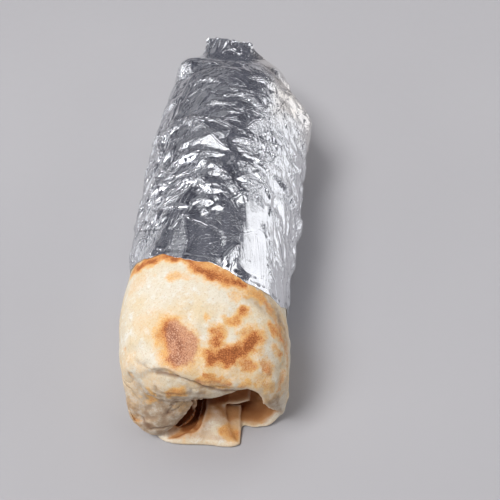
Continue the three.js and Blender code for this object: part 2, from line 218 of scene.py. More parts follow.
foil = {
    # y of the mouth's edge, from underneath round by the right
    "mouth": [-52, -53, -57, -66.5, -74.6, -73, -64.5, -59.5, -56.5, -51, -44.5, -50],
    "topColumns": 310,      # of the grid, round the sleeve
    "groundColumns": 14,
    "groundTurn": 0.11,     # how far round from underneath it rests on the ground
    "rows": 225,            # of the grid, from the shoulder to the mouth
    "endRows": [2, 9, 11, 12, 18],                # and between the rings from the tail to there
    "innerRows": (0.03, 0.08, 0.2, 0.4, 0.7, 1),  # on the inside, as shares of the way back
    "capRows": (0.25, 0.5, 0.72, 0.9),            # and round the bread's far end
    "sleeveEnd": 76,        # y, where the shoulder begins
    "axisHeight": 28,       # the folds' degrees turn round this height
    "radius": 33.0,         # turns those degrees into millimetres across the sleeve
    "standOff": 1.25,       # the outside's mean distance from the bread
    "edgeOff": 0.34,        # and at its open edge
    "wall": 0.1,            # the foil's thickness at that edge
    "reliefLimits": (-0.5, 2.4),  # for the folds
    "pressedLimit": -0.3,   # no place lies deeper than this
    # The loose overlap on the right flank: turn and reach, where it starts and ends
    "flap": {"height": 3.6, "turn": 0.285, "reach": 0.055, "start": (28, 44), "end": (60, 76)},
    # Pleats towards the tail: where they start, waves (how many, height, wander, its size, seed), and
    # how much slimmer they are at the tail's tip (from and to y) and on the top (turns from there)
    "pleats": {"height": 1.2, "start": (78, 92), "waves": [(17, 0.7, 0.6, 14, 31), (31, 0.35, 0.8, 9, 32)],
               "slimTip": (0.75, 106, 113), "slimTop": (0.85, 0.30, 0.16)},
    # The mouth's edge: how far from it the foil lies close and is pressed down, its right side, ruffles
    "edge": {"close": (0, 7), "pressed": (0.3, 3.5), "right": (12, 24), "ruffle": 0.35, "fineRuffle": 0.15},
    "facetWander": 1.6,     # how much the flat facets' borders wander
    "softFold": 7,          # mm, folds wider than this get no sharp crease
    "creaseReach": 1.5,     # mm, how far from its line a crease is marked
    "creaseLimit": 2.5,     # mm, and a wide one no farther than this
    "creaseSharpness": (0.21, 0.54, 0.54),  # the least, more for each mm of height, the most
    "leafSharpness": 0.43,
    "leafBack": 0.24,       # the slope behind a leaf's high edge
    "leafMargin": 6,        # mm, that slope ends within this
    "lineWidth": 1.7,       # the lines' width beside a fold's crease
    # Strewn folds: how far they turn from the usual direction, and their length
    "broadFold": {"turn": 0.55, "length": (10, 30)},
    "smallFold": {"turn": 0.32, "length": (4, 20)},
    "foldBend": 0.25,
    "risingShare": 0.68,    # of the strewn folds, the others are dents
    "dentDepth": -0.7,      # for each mm that a rising one would have
    "lopsidedShare": 0.35,  # so many are wider on the left
    "lopsidedBy": 2.4,
    # Rings from the tail to the shoulder, from underneath round by the right
    "tailEdge": [
        [-3, 114.4, 44.8], [3, 114.2, 44.2], [8, 114, 43.7], [10.4, 113.9, 43.8], [9.6, 114.4, 44.4],
        [4, 115, 45.2], [-3, 115.3, 46.2], [-9, 115.4, 46.8], [-14.5, 115.4, 47], [-16.6, 114.8, 46.4],
        [-14.4, 114.6, 45.8], [-8, 114.6, 45.2]],
    "tail": [
        [-3, 113, 43.2], [3, 113, 42.8], [7.5, 112.8, 42.2], [10, 112.8, 43], [9, 113.4, 44.2],
        [4, 114, 45.4], [-3, 114.6, 46.4], [-9, 114.9, 47], [-14, 115, 47.2], [-16.3, 114.4, 46],
        [-14, 113.6, 44.6], [-8, 113.2, 43.8]],
    "tailRoot": [
        [0, 107, 26], [8, 107.5, 27], [14, 108, 29], [18, 107, 35], [17, 106, 40.6], [8, 106, 44.2],
        [-3, 106, 45.9], [-11, 105, 46.4], [-17, 104.4, 44.4], [-18.7, 106, 38], [-14, 107, 30],
        [-7, 107, 27]],
    "back": [
        [1, 103, 5], [11, 104, 7], [19, 104, 13], [23, 104, 26], [23, 102.3, 37], [16.5, 100.7, 43],
        [-1, 99.5, 45.2], [-13, 98, 47.4], [-21.5, 98.6, 43.6], [-24, 103, 28], [-20, 104, 13],
        [-10, 103, 7]],
    "shoulder": [
        [0, 97, 0], [16, 97, 0.8], [26, 96, 8], [29, 95, 26], [27.2, 93.5, 39.5], [18, 91, 46.8],
        [-2, 88, 50.8], [-16, 86.5, 52], [-27, 88, 49], [-32, 92, 31], [-29, 96, 9], [-16, 97, 0.8]],
    # Folds that the eye picks out: corners as (degrees round from the top, y), height, width on the
    # line's left and right going from its first corner, and how far its ends fade
    "folds": [
        # long arcs over the top
        ([(-45, 29), (-33, 30), (-15, 27), (-1, 24), (14, 20), (27, 15), (37, 13), (47, 6)],
         0.8, 2.0, 9.0, 0.1),
        ([(-24, 25), (-10, 25), (2, 21), (10, 18)], 0.36, 1.0, 1.3, 0.25),
        ([(-48, 20), (-42, 24), (-38, 29)], 0.5, 1.6, 1.6, 0.3),
        ([(-34, 61), (-25, 61), (-18, 60), (-9, 57)], 0.40, 3.0, 1.3, 0.2),
        ([(-6, 70), (2, 70), (11, 66)], 0.34, 3.0, 1.1, 0.25),
        ([(-36, 82), (-23, 81), (-11, 80), (2, 76)], 0.5, 3.0, 1.7, 0.15),
        ([(-52, 78), (-39, 74), (-29, 74), (-20, 77)], -0.4, 2.0, 2.0, 0.2),
        ([(-19, 38), (-12, 40), (-3, 38), (4, 35)], 0.38, 3.0, 1.2, 0.2),
        ([(-9, 37), (1, 34), (9, 30)], 0.36, 1.4, 1.1, 0.25),
        ([(5, 48), (14, 46), (21, 43), (27, 40), (33, 37), (41, 32)], 0.5, 4.5, 1.6, 0.12),
        ([(15, 60), (23, 64), (28, 63), (34, 61)], 0.45, 3.0, 1.4, 0.25),
        ([(26, 58), (33, 54), (40, 50)], 0.4, 2.0, 1.4, 0.3),
        ([(-62, 81), (-54, 80), (-49, 79)], 0.5, 1.2, 2.2, 0.3),
        ([(-66, 77), (-55, 72), (-44, 69)], 0.5, 1.2, 2.2, 0.3),
        # thin lines in the middle
        ([(-28, 4), (-16, 2), (-4, 2)], 0.3, 1.2, 1.2, 0.2),
        ([(8, 9), (14, 7), (24, 1), (36, -5)], 0.6, 2.5, 2.4, 0.2),
        ([(-21, -37), (-14, -41), (-8, -43), (1, -46)], 0.10, 3.0, 1.2, 0.3),
        ([(-16, -19), (-8, -22), (2, -27), (6, -32)], 0.35, 1.2, 1.6, 0.3),
        ([(-24, -8), (-25, -20), (-23, -30)], 0.3, 1.0, 1.0, 0.3),
        ([(-19, -8), (-20, -16)], 0.3, 1.0, 1.0, 0.3),
        # the leaves on the right shoulder
        ([(25, 1), (33, -2), (42, -6)], 1.2, 6.5, 1.2, 0.15),
        ([(28, -9), (36, -14), (41, -19), (46, -23)], 1.1, 3.2, 1.0, 0.12),
        ([(18, -16), (28, -17), (36, -23)], 0.35, 1.0, 1.3, 0.2),
        # the dark lower middle ends at this fold, and the bright right side begins
        ([(12, -2), (19, -12), (25, -27), (27, -39), (25, -50), (25, -72)], 1.1, 16.0, 9.0, 0.06),
        ([(41, -5), (51, -8), (61, -12), (72, -14), (92, -17), (112, -21)], 1.9, 3.4, 2.4, 0.2),
        ([(32, -22), (40, -27), (47, -29), (54, -33)], 0.6, 1.6, 3.0, 0.2),
        ([(42, -36), (48, -45), (57, -51), (70, -56)], 0.5, 3.0, 1.6, 0.15),
        ([(45, 29), (55, 19), (61, 12), (76, 7)], 0.8, 3.0, 1.6, 0.15),
        ([(40, 24), (49, 18), (55, 12), (61, 5)], 0.6, 1.6, 3.0, 0.15),
        ([(58, 37), (66, 34), (80, 30), (98, 24), (116, 18)], 2.0, 3.0, 2.6, 0.25),
        ([(64, 56), (80, 52), (100, 46)], 1.2, 3.0, 2.6, 0.25),
        ([(66, 10), (82, 6), (100, 1)], 1.3, 2.6, 2.2, 0.25),
        ([(66, -36), (82, -40), (100, -44)], 1.1, 2.6, 2.2, 0.25),
        ([(62, -50), (72, -53), (84, -57), (104, -62)], -1.3, 2.2, 2.2, 0.2),
        # small marks on the white side and beside the mouth
        ([(26, -48), (33, -45), (40, -44), (46, -41)], -0.16, 1.0, 1.0, 0.3),
        ([(29, -63), (36, -61)], -0.3, 0.7, 0.7, 0.3),
        ([(43, -68), (54, -64)], -0.4, 0.8, 0.8, 0.3),
        ([(13, -71), (17, -63), (22, -56)], 1.1, 0.9, 3.6, 0.2),
        ([(21, -74), (22, -64), (24, -58)], -0.5, 0.9, 0.9, 0.2),
        ([(10, -48), (12, -50), (13, -53), (12, -57)], 0.16, 1.0, 1.0, 0.3),
        ([(-1, -56), (7, -54)], 0.08, 0.8, 0.8, 0.4),
        # the left flank
        ([(-58, -41), (-51, -36), (-43, -31), (-38, -27), (-31, -19), (-27, -10)], 0.6, 2.0, 3.5, 0.1),
        ([(-56, -43), (-45, -40), (-37, -37), (-34, -34)], 0.45, 1.5, 2.4, 0.2),
        ([(-33, -46), (-28, -43), (-24, -39)], 0.3, 1.2, 1.4, 0.3),
        ([(-44, -42), (-39, -38), (-36, -31)], 0.4, 1.4, 2.0, 0.3),
        ([(-54, -20), (-41, -17), (-33, -15), (-27, -9)], 0.5, 1.8, 2.6, 0.2),
        ([(-54, -8), (-42, -5), (-36, -3), (-29, -3)], 0.5, 1.8, 2.6, 0.2),
        ([(-55, -25), (-46, -19), (-38, -14)], 0.45, 1.6, 2.2, 0.2),
        ([(-56, 5), (-47, 17), (-42, 23)], 0.45, 1.8, 1.8, 0.2),
        ([(-72, -50), (-60, -34), (-50, -12), (-45, 4)], 0.7, 2.4, 2.4, 0.1),
        ([(-80, -40), (-68, -20), (-60, 6), (-57, 24)], 0.8, 2.4, 2.8, 0.1),
        ([(-84, 0), (-70, 24), (-62, 48)], 0.8, 2.4, 2.8, 0.1),
        ([(-76, 34), (-62, 56), (-56, 72)], 0.7, 2.2, 2.4, 0.1),
        # the edges of the narrow facet that widens down to the mouth
        ([(-22, -35), (-24, -43), (-26, -51), (-29, -62)], -0.35, 0.9, 2.4, 0.2),
        ([(-21, -35), (-18, -44), (-15, -52), (-15, -62)], 0.2, 3.2, 1.0, 0.2),
    ],
    # Long sharp lines across the facets, which hardly bend them: corners, how sharp
    "lines": [
        ([(-47, 22), (-45, 29), (-33, 30), (-15, 27), (-1, 24), (14, 20), (27, 15), (37, 13), (47, 6),
          (55, 3)], 0.72),
        ([(-60, -22), (-51, -8), (-43, 3), (-33, 6)], 0.7),
        ([(-62, -32), (-51, -23), (-42, -16), (-33, -7), (-26, -3)], 0.7),
        ([(-54, -40), (-43, -32), (-33, -24), (-24, -19), (-21, -10)], 0.7),
        ([(-55, -5), (-51, 17), (-48, 27)], 0.66),
        ([(-66, -44), (-58, -30), (-55, -18), (-52, -2)], 0.66),
        ([(-46, -52), (-39, -44), (-34, -40)], 0.66),
        ([(15, -5), (26, -6), (37, -10), (42, -16), (47, -24)], 0.7),
        ([(21, -16), (30, -20), (40, -25), (48, -33)], 0.66),
        ([(14, 3), (28, 2), (37, 2), (48, 1), (58, -1)], 0.66),
        ([(0, -4), (4, -11), (11, -17), (19, -26)], 0.66),
        ([(11, 47), (22, 44), (32, 37), (42, 33)], 0.7),
        ([(-8, 38), (1, 37), (10, 35)], 0.66),
        ([(-37, 62), (-25, 62), (-11, 58)], 0.7),
        ([(-42, 85), (-29, 86), (-11, 83), (7, 73)], 0.7),
        ([(17, 62), (26, 63), (34, 63)], 0.66),
        ([(44, 24), (53, 14), (60, 4), (68, -8), (74, -24)], 0.66),
        ([(36, -36), (46, -48), (56, -60)], 0.5),
        ([(50, -30), (58, -42), (68, -54)], 0.66),
    ],
    # Bright leaves and triangles that lean towards one edge: the high edge, the low edge, the lean
    "leaves": [
        ([(-31, 8), (-20, 10), (-9, 12), (-5, 9), (5, 4)], [(-28, 6), (-16, 4), (-4, 4), (4, 3)], 0.32),
        ([(-23, 0), (-11, 0), (2, 0)], [(-21, -5), (-16, -8), (-12, -6), (-6, -3), (1, -1)], 0.34),
        ([(-14, -6), (-9, -6), (-2, -13)], [(-13, -10), (-8, -15), (-2, -15)], 0.28),
        ([(-4, -8), (1, -9), (7, -13), (13, -19), (22, -28)],
         [(-4, -11), (4, -16), (11, -22), (19, -27)], 0.32),
        ([(-23, -17), (-17, -17), (-11, -17), (-5, -21)],
         [(-21, -20), (-15, -22), (-9, -24), (-5, -25)], 0.30),
        ([(-14, -31), (-9, -30), (-3, -30)], [(-13, -33), (-7, -40), (-3, -34)], 0.26),
        ([(-12, -23), (-9, -22), (-3, -22)], [(-12, -25), (-7, -29), (-3, -28)], 0.22),
        ([(-6, -38), (-5, -36), (-3, -37)], [(-5, -39), (0, -44), (-2, -38)], 0.20),
        ([(4, -33), (6, -33)], [(4, -38), (6, -39)], 0.12),
        ([(-28, -1), (-34, -4), (-39, -9), (-42, -15)],
         [(-28, -5), (-33, -9), (-38, -15), (-40, -17)], 0.32),
        ([(-36, -45), (-40, -55), (-46, -60), (-60, -64)],
         [(-36, -44), (-41, -48), (-49, -54), (-66, -60)], 0.35),
        ([(-62, -38), (-66, -60)], [(-40, -44), (-44, -50), (-56, -62)], 0.10),
        ([(-48, -15), (-53, -16), (-58, -18)], [(-47, -19), (-49, -20), (-54, -21)], 0.35),
        ([(14, -3), (21, -4), (28, -6), (39, -12)], [(15, -7), (21, -7), (27, -9), (37, -14)], 0.22),
        ([(20, -15), (24, -14), (29, -16)], [(21, -18), (25, -18), (29, -19)], 0.20),
        ([(19, 21), (24, 26), (32, 29)], [(22, 18), (28, 18), (36, 22)], 0.10),
        ([(10, 11), (18, 12), (30, 10)], [(11, 7), (21, 5), (30, 6)], 0.12),
        ([(17, -62), (22, -56)], [(17, -71), (20, -66), (24, -58)], 0.20),
        ([(-28, 26), (-22, 25), (-12, 18), (-1, 12)], [(-30, 9), (-20, 11), (-9, 12), (-1, 11)], 0.06),
        ([(-37, 60), (-26, 61), (-16, 60), (-8, 56)], [(-34, 57), (-26, 57), (-16, 56), (-9, 54)], 0.20),
    ],
    # Small folds strewn by area: from and to (degrees), from and to (y), how many, height, width
    "strewn": [
        ((-94, -38), (-44, 32), 80, 0.75, 2.0),
        ((-94, -64), (-64, -44), 20, 0.75, 2.0),
        ((-94, -46), (32, 90), 30, 0.5, 1.8),
        ((-44, -24), (-34, 26), 26, 0.5, 1.5),
        ((-36, 10), (36, 88), 46, 0.36, 1.0),
        ((4, 34), (26, 88), 30, 0.45, 1.1),
        ((24, 58), (-26, 76), 40, 0.55, 1.5),
        ((50, 104), (-66, 90), 80, 0.80, 2.2),
        ((-150, -88), (-46, 88), 50, 0.9, 2.6),
        ((100, 150), (-46, 88), 50, 0.9, 2.6),
    ],
    # Broad bends between flat facets
    "facets": [
        ((-90, -42), (-56, 86), 20, 1.1, 5.0),
        ((-34, 22), (24, 88), 9, 0.35, 7.0),
        ((46, 100), (-60, 88), 24, 1.2, 5.5),
        ((26, 50), (-24, 80), 9, 0.8, 5.5),
        ((-160, -90), (-46, 88), 16, 1.2, 7.0),
        ((100, 160), (-46, 88), 16, 1.2, 7.0),
    ],
    # Flat facets: middle (degrees, y), reach (mm across, mm along), height, facets' length and width
    "crushed": [
        ((-62, -10), (16, 44), 0.20, 16.0, 3.4),
        ((-62, -10), (16, 44), 0.10, 6.0, 1.8),
        ((-30, 60), (13, 36), 0.10, 14.0, 4.0),
        ((0, 55), (22, 34), 0.12, 16.0, 4.0),
        ((36, 34), (15, 38), 0.34, 3.6, 2.2),
        ((30, 75), (14, 22), 0.30, 3.6, 2.2),
        ((11, -29), (9, 13), 0.20, 3.6, 2.4),
        ((-14, 3), (14, 5), 0.10, 4.0, 1.8),
        ((-11, -26), (7, 9), 0.12, 4.0, 2.0),
        ((30, -14), (10, 13), 0.16, 6.0, 2.4),
        ((54, -25), (8, 60), 0.22, 12.0, 2.6),
        ((0, 111), (26, 7), 0.5, 5.0, 3.5),
        ((8, 97), (16, 6), 0.3, 6.0, 3.0),
        ((84, 10), (18, 110), 0.50, 13.0, 3.4),
        ((84, 10), (18, 110), 0.20, 5.0, 2.0),
        ((150, 20), (60, 110), 0.60, 9.0, 4.0),
        ((-150, 20), (60, 110), 0.60, 9.0, 4.0),
    ],
    "leafDull": 0.6,        # how dull the leaves are
    # painted reflection: from these degrees and y the right side is tinted warm, as if it reflected
    # something warm
    "warmFrom": ((28, 50), (20, 60)),  # degrees and y, where the right side turns warmer
    # Bright metal, greyer metal, and the warm tint of a painted reflection
    "colours": [(0.82, 0.83, 0.86), (0.76, 0.77, 0.80), (0.84, 0.78, 0.71)],
    # Calm places, with hardly a crinkle: line, reach at its two ends, how calm
    "calm": [
        ([(0, -46), (2, -66)], 15.0, 17.0, 1.0),
        ([(-30, -48), (-50, -64)], 8.0, 12.0, 1.0),
        ([(36, -34), (36, -60)], 8.0, 13.0, 1.0),
        ([(-28, 76), (-14, 52), (-6, 34)], 13.0, 15.0, 0.7),
        ([(8, 70), (14, 50), (18, 32)], 8.0, 8.0, 0.6),
    ],
    # Dull patches of very fine crinkles: corners, strength
    "dull": [
        ([(-22, -35), (-19, -44), (-15, -54), (-16, -64), (-32, -64), (-28, -54), (-25, -44)], 0.9),
        ([(-28, 6), (-4, 4), (4, 3), (1, 0), (-21, 0)], 0.45),
        ([(-12, -6), (1, -2), (1, -9), (-6, -7)], 0.6),
        ([(-28, 26), (-22, 25), (-12, 18), (-1, 12), (-9, 12), (-20, 11), (-29, 9), (-33, 12), (-28, 19)],
         0.5),
        ([(-30, -22), (-42, -22), (-43, -30), (-36, -36), (-29, -31)], 0.5),
        ([(-20, -8), (-13, -8), (-13, -16), (-22, -16)], 0.7),
        ([(-15, -24), (-4, -24), (-4, -36), (-10, -33)], 0.6),
        ([(15, -7), (27, -9), (38, -15), (38, -24), (27, -21), (20, -15)], 0.6),
        ([(22, -18), (29, -18), (37, -24), (42, -31), (31, -35), (27, -27)], 0.6),
        ([(19, 21), (24, 26), (33, 29), (37, 20), (28, 17)], 0.5),
        ([(10, 11), (30, 10), (32, 5), (20, 4), (11, 7)], 0.5),
        ([(8, -47), (12, -48), (15, -52), (13, -58), (12, -52)], 0.9),
        ([(34, 80), (50, 76), (60, 40), (62, -20), (48, -20), (44, 30)], 0.35),
    ],
}


creases = []  # the line, sharpness and width of each sharp crease that the material draws


# Where along the roll the mouth's edge lies
def mouthAt(turn):
    edge = np.array(foil["mouth"], float)
    place = (turn % 1) * len(edge)
    i = np.floor(place).astype(int)
    t = softStep(place - i, 0, 1)
    return edge[i % len(edge)] * (1 - t) + edge[(i + 1) % len(edge)] * t


# Points of a smooth ring through corners
def closedRing(corners, turn):
    corners = np.array(corners, float) + np.array(roll["shift"])
    count = len(corners)
    place = (turn % 1) * count
    i = np.floor(place).astype(int)
    a, b, c, d = (corners[(i + k) % count] for k in (-1, 0, 1, 2))
    return hermite(b, c, 0.5 * (c - a), 0.5 * (d - b), (place - i)[:, None])


# Rows between two rings, on curves that also look at the rings before and after
def rowsBetween(before, start, end, after, steps):
    reach = [np.maximum(np.linalg.norm(q - p, axis=1), 0.3)[:, None] ** 0.5
             for p, q in ((before, start), (start, end), (end, after))]
    slopeA = ((start - before) / reach[0] - (end - before) / (reach[0] + reach[1])
              + (end - start) / reach[1]) * reach[1]
    slopeB = ((end - start) / reach[1] - (after - start) / (reach[1] + reach[2])
              + (after - end) / reach[2]) * reach[1]
    return [hermite(start, end, slopeA, slopeB, k / steps) for k in range(1, steps + 1)]


# The indices of the places in a box round corners
def closeBy(sheet, corners, reach):
    low, high = corners.min(0) - reach, corners.max(0) + reach
    return np.flatnonzero(np.all((sheet > low) & (sheet < high), axis=1))


# A ridge or a dent along a line, with a sharp crease on it where it is narrow
def addFold(relief, sheet, corners, height, leftWidth, rightWidth, fade):
    corners = np.array(corners, float)
    near = closeBy(sheet, corners, max(leftWidth, rightWidth))
    if len(near) == 0:
        return
    gap, where, side = nearLine(sheet[near], corners)
    width = np.where(side > 0, leftWidth, rightWidth)
    taper = np.minimum(1, np.minimum(where, 1 - where) / fade)  # its sides run to a point at both ends
    relief[near] += height * np.maximum(0, taper - gap / width)
    if min(leftWidth, rightWidth) < foil["softFold"]:
        least, perHeight, most = foil["creaseSharpness"]
        sharpness = min(most, least + perHeight * abs(height))
        creases.append((corners, math.copysign(sharpness, height), 1.0))


# Which points lie inside a shape, and how far they are from its outline
def insideOf(points, corners):
    corners = np.array(corners, float)
    within = np.zeros(len(points), bool)
    for a, b in zip(corners, np.roll(corners, -1, 0)):
        crosses = (a[1] > points[:, 1]) != (b[1] > points[:, 1])
        if a[1] != b[1]:
            lineX = (b[0] - a[0]) * (points[:, 1] - a[1]) / (b[1] - a[1]) + a[0]
            within ^= crosses & (points[:, 0] < lineX)
    return within, nearLine(points, np.vstack([corners, corners[:1]]))[0]


# From degrees round the sleeve to millimetres across it
def inMillimetres(corners):
    return [(math.radians(degrees) * foil["radius"], y) for degrees, y in corners]


# A flat leaf that rises from its low edge to its high edge and falls off behind that
def addLeaf(relief, sheet, highEdge, lowEdge, lean):
    highEdge, lowEdge = inMillimetres(highEdge), inMillimetres(lowEdge)
    outline = np.array(highEdge + lowEdge[::-1], float)
    near = closeBy(sheet, outline, foil["leafMargin"])
    places = sheet[near]
    within, _ = insideOf(places, outline)
    fromHigh, where, _ = nearLine(places, highEdge)
    fromLow = nearLine(places, lowEdge)[0]
    depths = nearLine(np.array(highEdge, float), lowEdge)[0]
    steps = np.linalg.norm(np.diff(np.array(highEdge, float), axis=0), axis=1)
    lengths = np.append(0, np.cumsum(steps))
    behind = lean * np.interp(where, lengths / lengths[-1], depths) - foil["leafBack"] * fromHigh
    outside = np.where(fromHigh < fromLow, np.maximum(0, behind), 0)
    relief[near] += np.where(within, lean * fromLow, outside)
    creases.append((highEdge, foil["leafSharpness"], 1.0))


# A fold's usual direction on the sleeve: arcs over the top that run down both flanks towards the mouth
def lieOfFolds(degrees):
    return np.radians(np.clip(-1.25 * degrees, -66, 66))


# Folds at random over an area, about in their usual direction there
def strewFolds(relief, sheet, area, kind):
    (left, right), (near, far), count, height, width = area
    for _ in range(count):
        degrees, y = rng.uniform(left, right), rng.uniform(near, far)
        lie = lieOfFolds(degrees) + rng.normal(0, kind["turn"])
        length = rng.uniform(*kind["length"])
        bend = rng.normal(0, foil["foldBend"])
        across = math.radians(degrees) * foil["radius"]
        corners = []
        for step in (-0.5, -0.17, 0.17, 0.5):
            turned = lie + bend * step * 2
            away = length * step
            corners.append((across + math.cos(turned) * away, y + math.sin(turned) * away))
        tall = height * rng.uniform(0.35, 1.15)
        tall *= 1 if rng.random() < foil["risingShare"] else foil["dentDepth"]
        leftWidth, rightWidth = width * rng.uniform(0.6, 1.5, 2)
        if rng.random() < foil["lopsidedShare"]:
            leftWidth *= foil["lopsidedBy"]
        addFold(relief, sheet, corners, tall, leftWidth, rightWidth, rng.uniform(0.3, 0.5))


# How far the foil stands off the bread
def standOff(y, turn):
    return foil["edgeOff"] + (foil["standOff"] - foil["edgeOff"]) * softStep(y - mouthAt(turn), 0, 60)


# The foil's outside before its creases, as rows from the tail's tip to the mouth
def foilSurface(turn):
    rings = [closedRing(foil[name], turn) for name in ("tailEdge", "tail", "tailRoot", "back", "shoulder")]
    tip = np.repeat(rings[0].mean(0)[None] + [0, 0.2, 0.1], len(turn), 0)
    start = rollPoints(turn, foil["sleeveEnd"], foil["standOff"])
    after = rollPoints(turn, foil["sleeveEnd"] - 10, foil["standOff"])
    # the tail's edge wanders, so that it looks torn
    ragged = cloud(np.stack([rings[0][:, 0], turn * 0, turn * 0], 1), 1.6, 3)
    rings[0][:, 1:] += ragged[:, None] * [0.35, 0.7]
    chain = [tip, rings[0], rings[1], rings[2], rings[3], rings[4], start, after]
    rows = [tip, rings[0]]
    for k, steps in enumerate(foil["endRows"]):
        rows += rowsBetween(chain[k], chain[k + 1], chain[k + 2], chain[k + 3], steps)
    shares = np.append(np.linspace(0, 1, foil["rows"] + 1)[1:], 1)
    shares[-2] = 0.9996  # this row keeps the shading of the edge off the faces beside it
    straight = foil["sleeveEnd"] + (mouthAt(turn) + edgeWander(turn) - foil["sleeveEnd"]) * shares[:, None]
    for y in straight:
        rows.append(rollPoints(turn, y, standOff(y, turn)))
    return np.stack(rows)


# The mouth's edge isn't cut quite straight
def edgeWander(turn):
    angle = 2 * math.pi * turn
    around = np.stack([np.cos(angle), np.sin(angle), turn * 0], 1) * foil["radius"]
    return 0.5 * cloud(around, 5, 11) + 0.35 * cloud(around, 1.8, 12)


# Places on the opened sleeve: degrees round from the top, and mm across and along it
def onSheet(points):
    middle = rollValue("drift", points[:, 1]) + roll["shift"][0]
    bearing = np.arctan2(points[:, 0] - middle, points[:, 2] - foil["axisHeight"])
    return np.degrees(bearing), np.stack([bearing * foil["radius"], points[:, 1]], 1)


# A wave of straight sides, from 0 to 1, with so many to a turn
def zigzag(turns, count, wander):
    return np.abs(((turns * count + wander) % 1) * 2 - 1)


def outwardNormals(surface):
    acrossStep = np.roll(surface, -1, 1) - np.roll(surface, 1, 1)
    downStep = np.gradient(surface, axis=0)
    normal = np.cross(acrossStep, downStep)
    normal /= np.maximum(np.linalg.norm(normal, axis=2, keepdims=True), 1e-9)
    middle = surface.mean(1, keepdims=True)
    facing = np.sum(normal * (surface - middle), axis=2)
    return normal * np.sign(np.median(facing))


# The height of all folds, leaves and bends, drawn and strewn
def foldRelief(sheet):
    relief = np.zeros(len(sheet))
    for corners, sharpness in foil["lines"]:
        creases.append((inMillimetres(corners), sharpness, foil["lineWidth"]))
    for corners, height, leftWidth, rightWidth, fade in foil["folds"]:
        addFold(relief, sheet, inMillimetres(corners), height, leftWidth, rightWidth, fade)
    for highEdge, lowEdge, lean in foil["leaves"]:
        addLeaf(relief, sheet, highEdge, lowEdge, lean)
    for area in foil["facets"]:
        strewFolds(relief, sheet, area, foil["broadFold"])
    for area in foil["strewn"]:
        strewFolds(relief, sheet, area, foil["smallFold"])
    return np.clip(relief, *foil["reliefLimits"])


# The loose overlap on the right flank
def overlapRelief(turns, y):
    flap = foil["flap"]
    bulge = np.exp(-((turns - flap["turn"]) / flap["reach"]) ** 2)
    return flap["height"] * bulge * softStep(y, *flap["start"]) * (1 - softStep(y, *flap["end"]))


# Pleats gathered towards the tail
def pleatRelief(points, turns):
    pleats = foil["pleats"]
    pleat = np.zeros(len(points))
    for count, height, wander, size, seed in pleats["waves"]:
        pleat += height * (zigzag(turns, count, wander * cloud(points, size, seed)) - 0.5)
    (tipShare, *tip), (topShare, *top) = pleats["slimTip"], pleats["slimTop"]
    slim = 1 - tipShare * softStep(points[:, 1], *tip)
    slim *= 1 - topShare * softStep(np.abs(turns - 0.5), *top)
    return pleats["height"] * softStep(points[:, 1], *pleats["start"]) * slim * pleat


# The mouth's edge lies close to the bread, with small ruffles that are larger on the right
def settleEdge(relief, points, turns, sheet):
    edge = foil["edge"]
    fromMouth = points[:, 1] - (mouthAt(turns) + roll["shift"][1])
    close = 1 - softStep(fromMouth, *edge["close"])
    onRight = softStep(sheet[:, 0], *edge["right"])
    ruffle = edge["ruffle"] * np.maximum(0, cloud(points, 4.5, 41))
    ruffle += edge["fineRuffle"] * cloud(points, 2, 42)
    ruffle *= (0.25 + 0.75 * onRight) * softStep(points[:, 2], 0.5, 6)
    relief = relief * (1 - 0.3 * close) + close * ruffle
    pressed = 1 - softStep(fromMouth, *edge["pressed"])
    return relief * (1 - pressed * (0.9 - 0.35 * onRight))


# How far each place of the sleeve stands out from its smooth shape
def foilRelief(surface, turn):
    shape = surface.shape[:2]
    points = surface.reshape(-1, 3)
    turns = np.broadcast_to(turn, shape).ravel()
    degrees, sheet = onSheet(points)
    relief = foldRelief(sheet)
    lay, across = foldPlaces(degrees, points[:, 1])
    lay = lay + foil["facetWander"] * cloud(points, 9, 26)
    across = across + foil["facetWander"] * cloud(points, 9, 27)
    for seed, (middle, reach, height, length, width) in enumerate(foil["crushed"], 21):
        offset = (sheet - inMillimetres([middle])[0]) / reach
        inside = np.exp(-(offset[:, 0] ** 2 + offset[:, 1] ** 2) ** 2)
        relief += height * inside * facetCloud(lay / length, across / width, seed)
    relief += overlapRelief(turns, points[:, 1])
    relief += pleatRelief(points, turns)
    relief *= softStep(points[:, 2], 0.2, 5)  # pressed flat on the ground
    relief = settleEdge(relief, points, turns, sheet)
    return np.maximum(relief, foil["pressedLimit"]).reshape(shape)


# Places along and across the usual direction of the folds
def foldPlaces(degrees, y):
    steps = np.linspace(-180, 180, 361)
    rise = np.cumsum(np.tan(lieOfFolds(steps))) * math.radians(1) * foil["radius"]
    across = (y - np.interp(degrees, steps, rise)) * (np.cos(lieOfFolds(degrees)) * 0.6 + 0.4)
    return np.radians(degrees) * foil["radius"] / np.maximum(np.cos(lieOfFolds(degrees)), 0.4), across


# Each place's distance from the nearest crease, below 0 on its right, and how sharp that crease is
def creaseMarks(sheet):
    side, depth = np.full(len(sheet), foil["creaseReach"]), np.zeros(len(sheet))
    nearest = np.full(len(sheet), foil["creaseLimit"])
    for corners, sharpness, wide in creases:
        reach = foil["creaseReach"] * wide
        near = closeBy(sheet, np.array(corners, float), reach)
        if len(near) == 0:
            continue
        gap, where, turned = nearLine(sheet[near], corners)
        closer = (gap < nearest[near]) & (gap < reach)
        near, gap, where, turned = near[closer], gap[closer], where[closer], turned[closer]
        nearest[near] = gap
        side[near] = gap * np.sign(turned) / wide
        ends = softStep(np.minimum(where, 1 - where), 0, 0.2)
        depth[near] = sharpness * ends * (1 - softStep(gap / wide, 0.75, 1.2))
    return side, depth
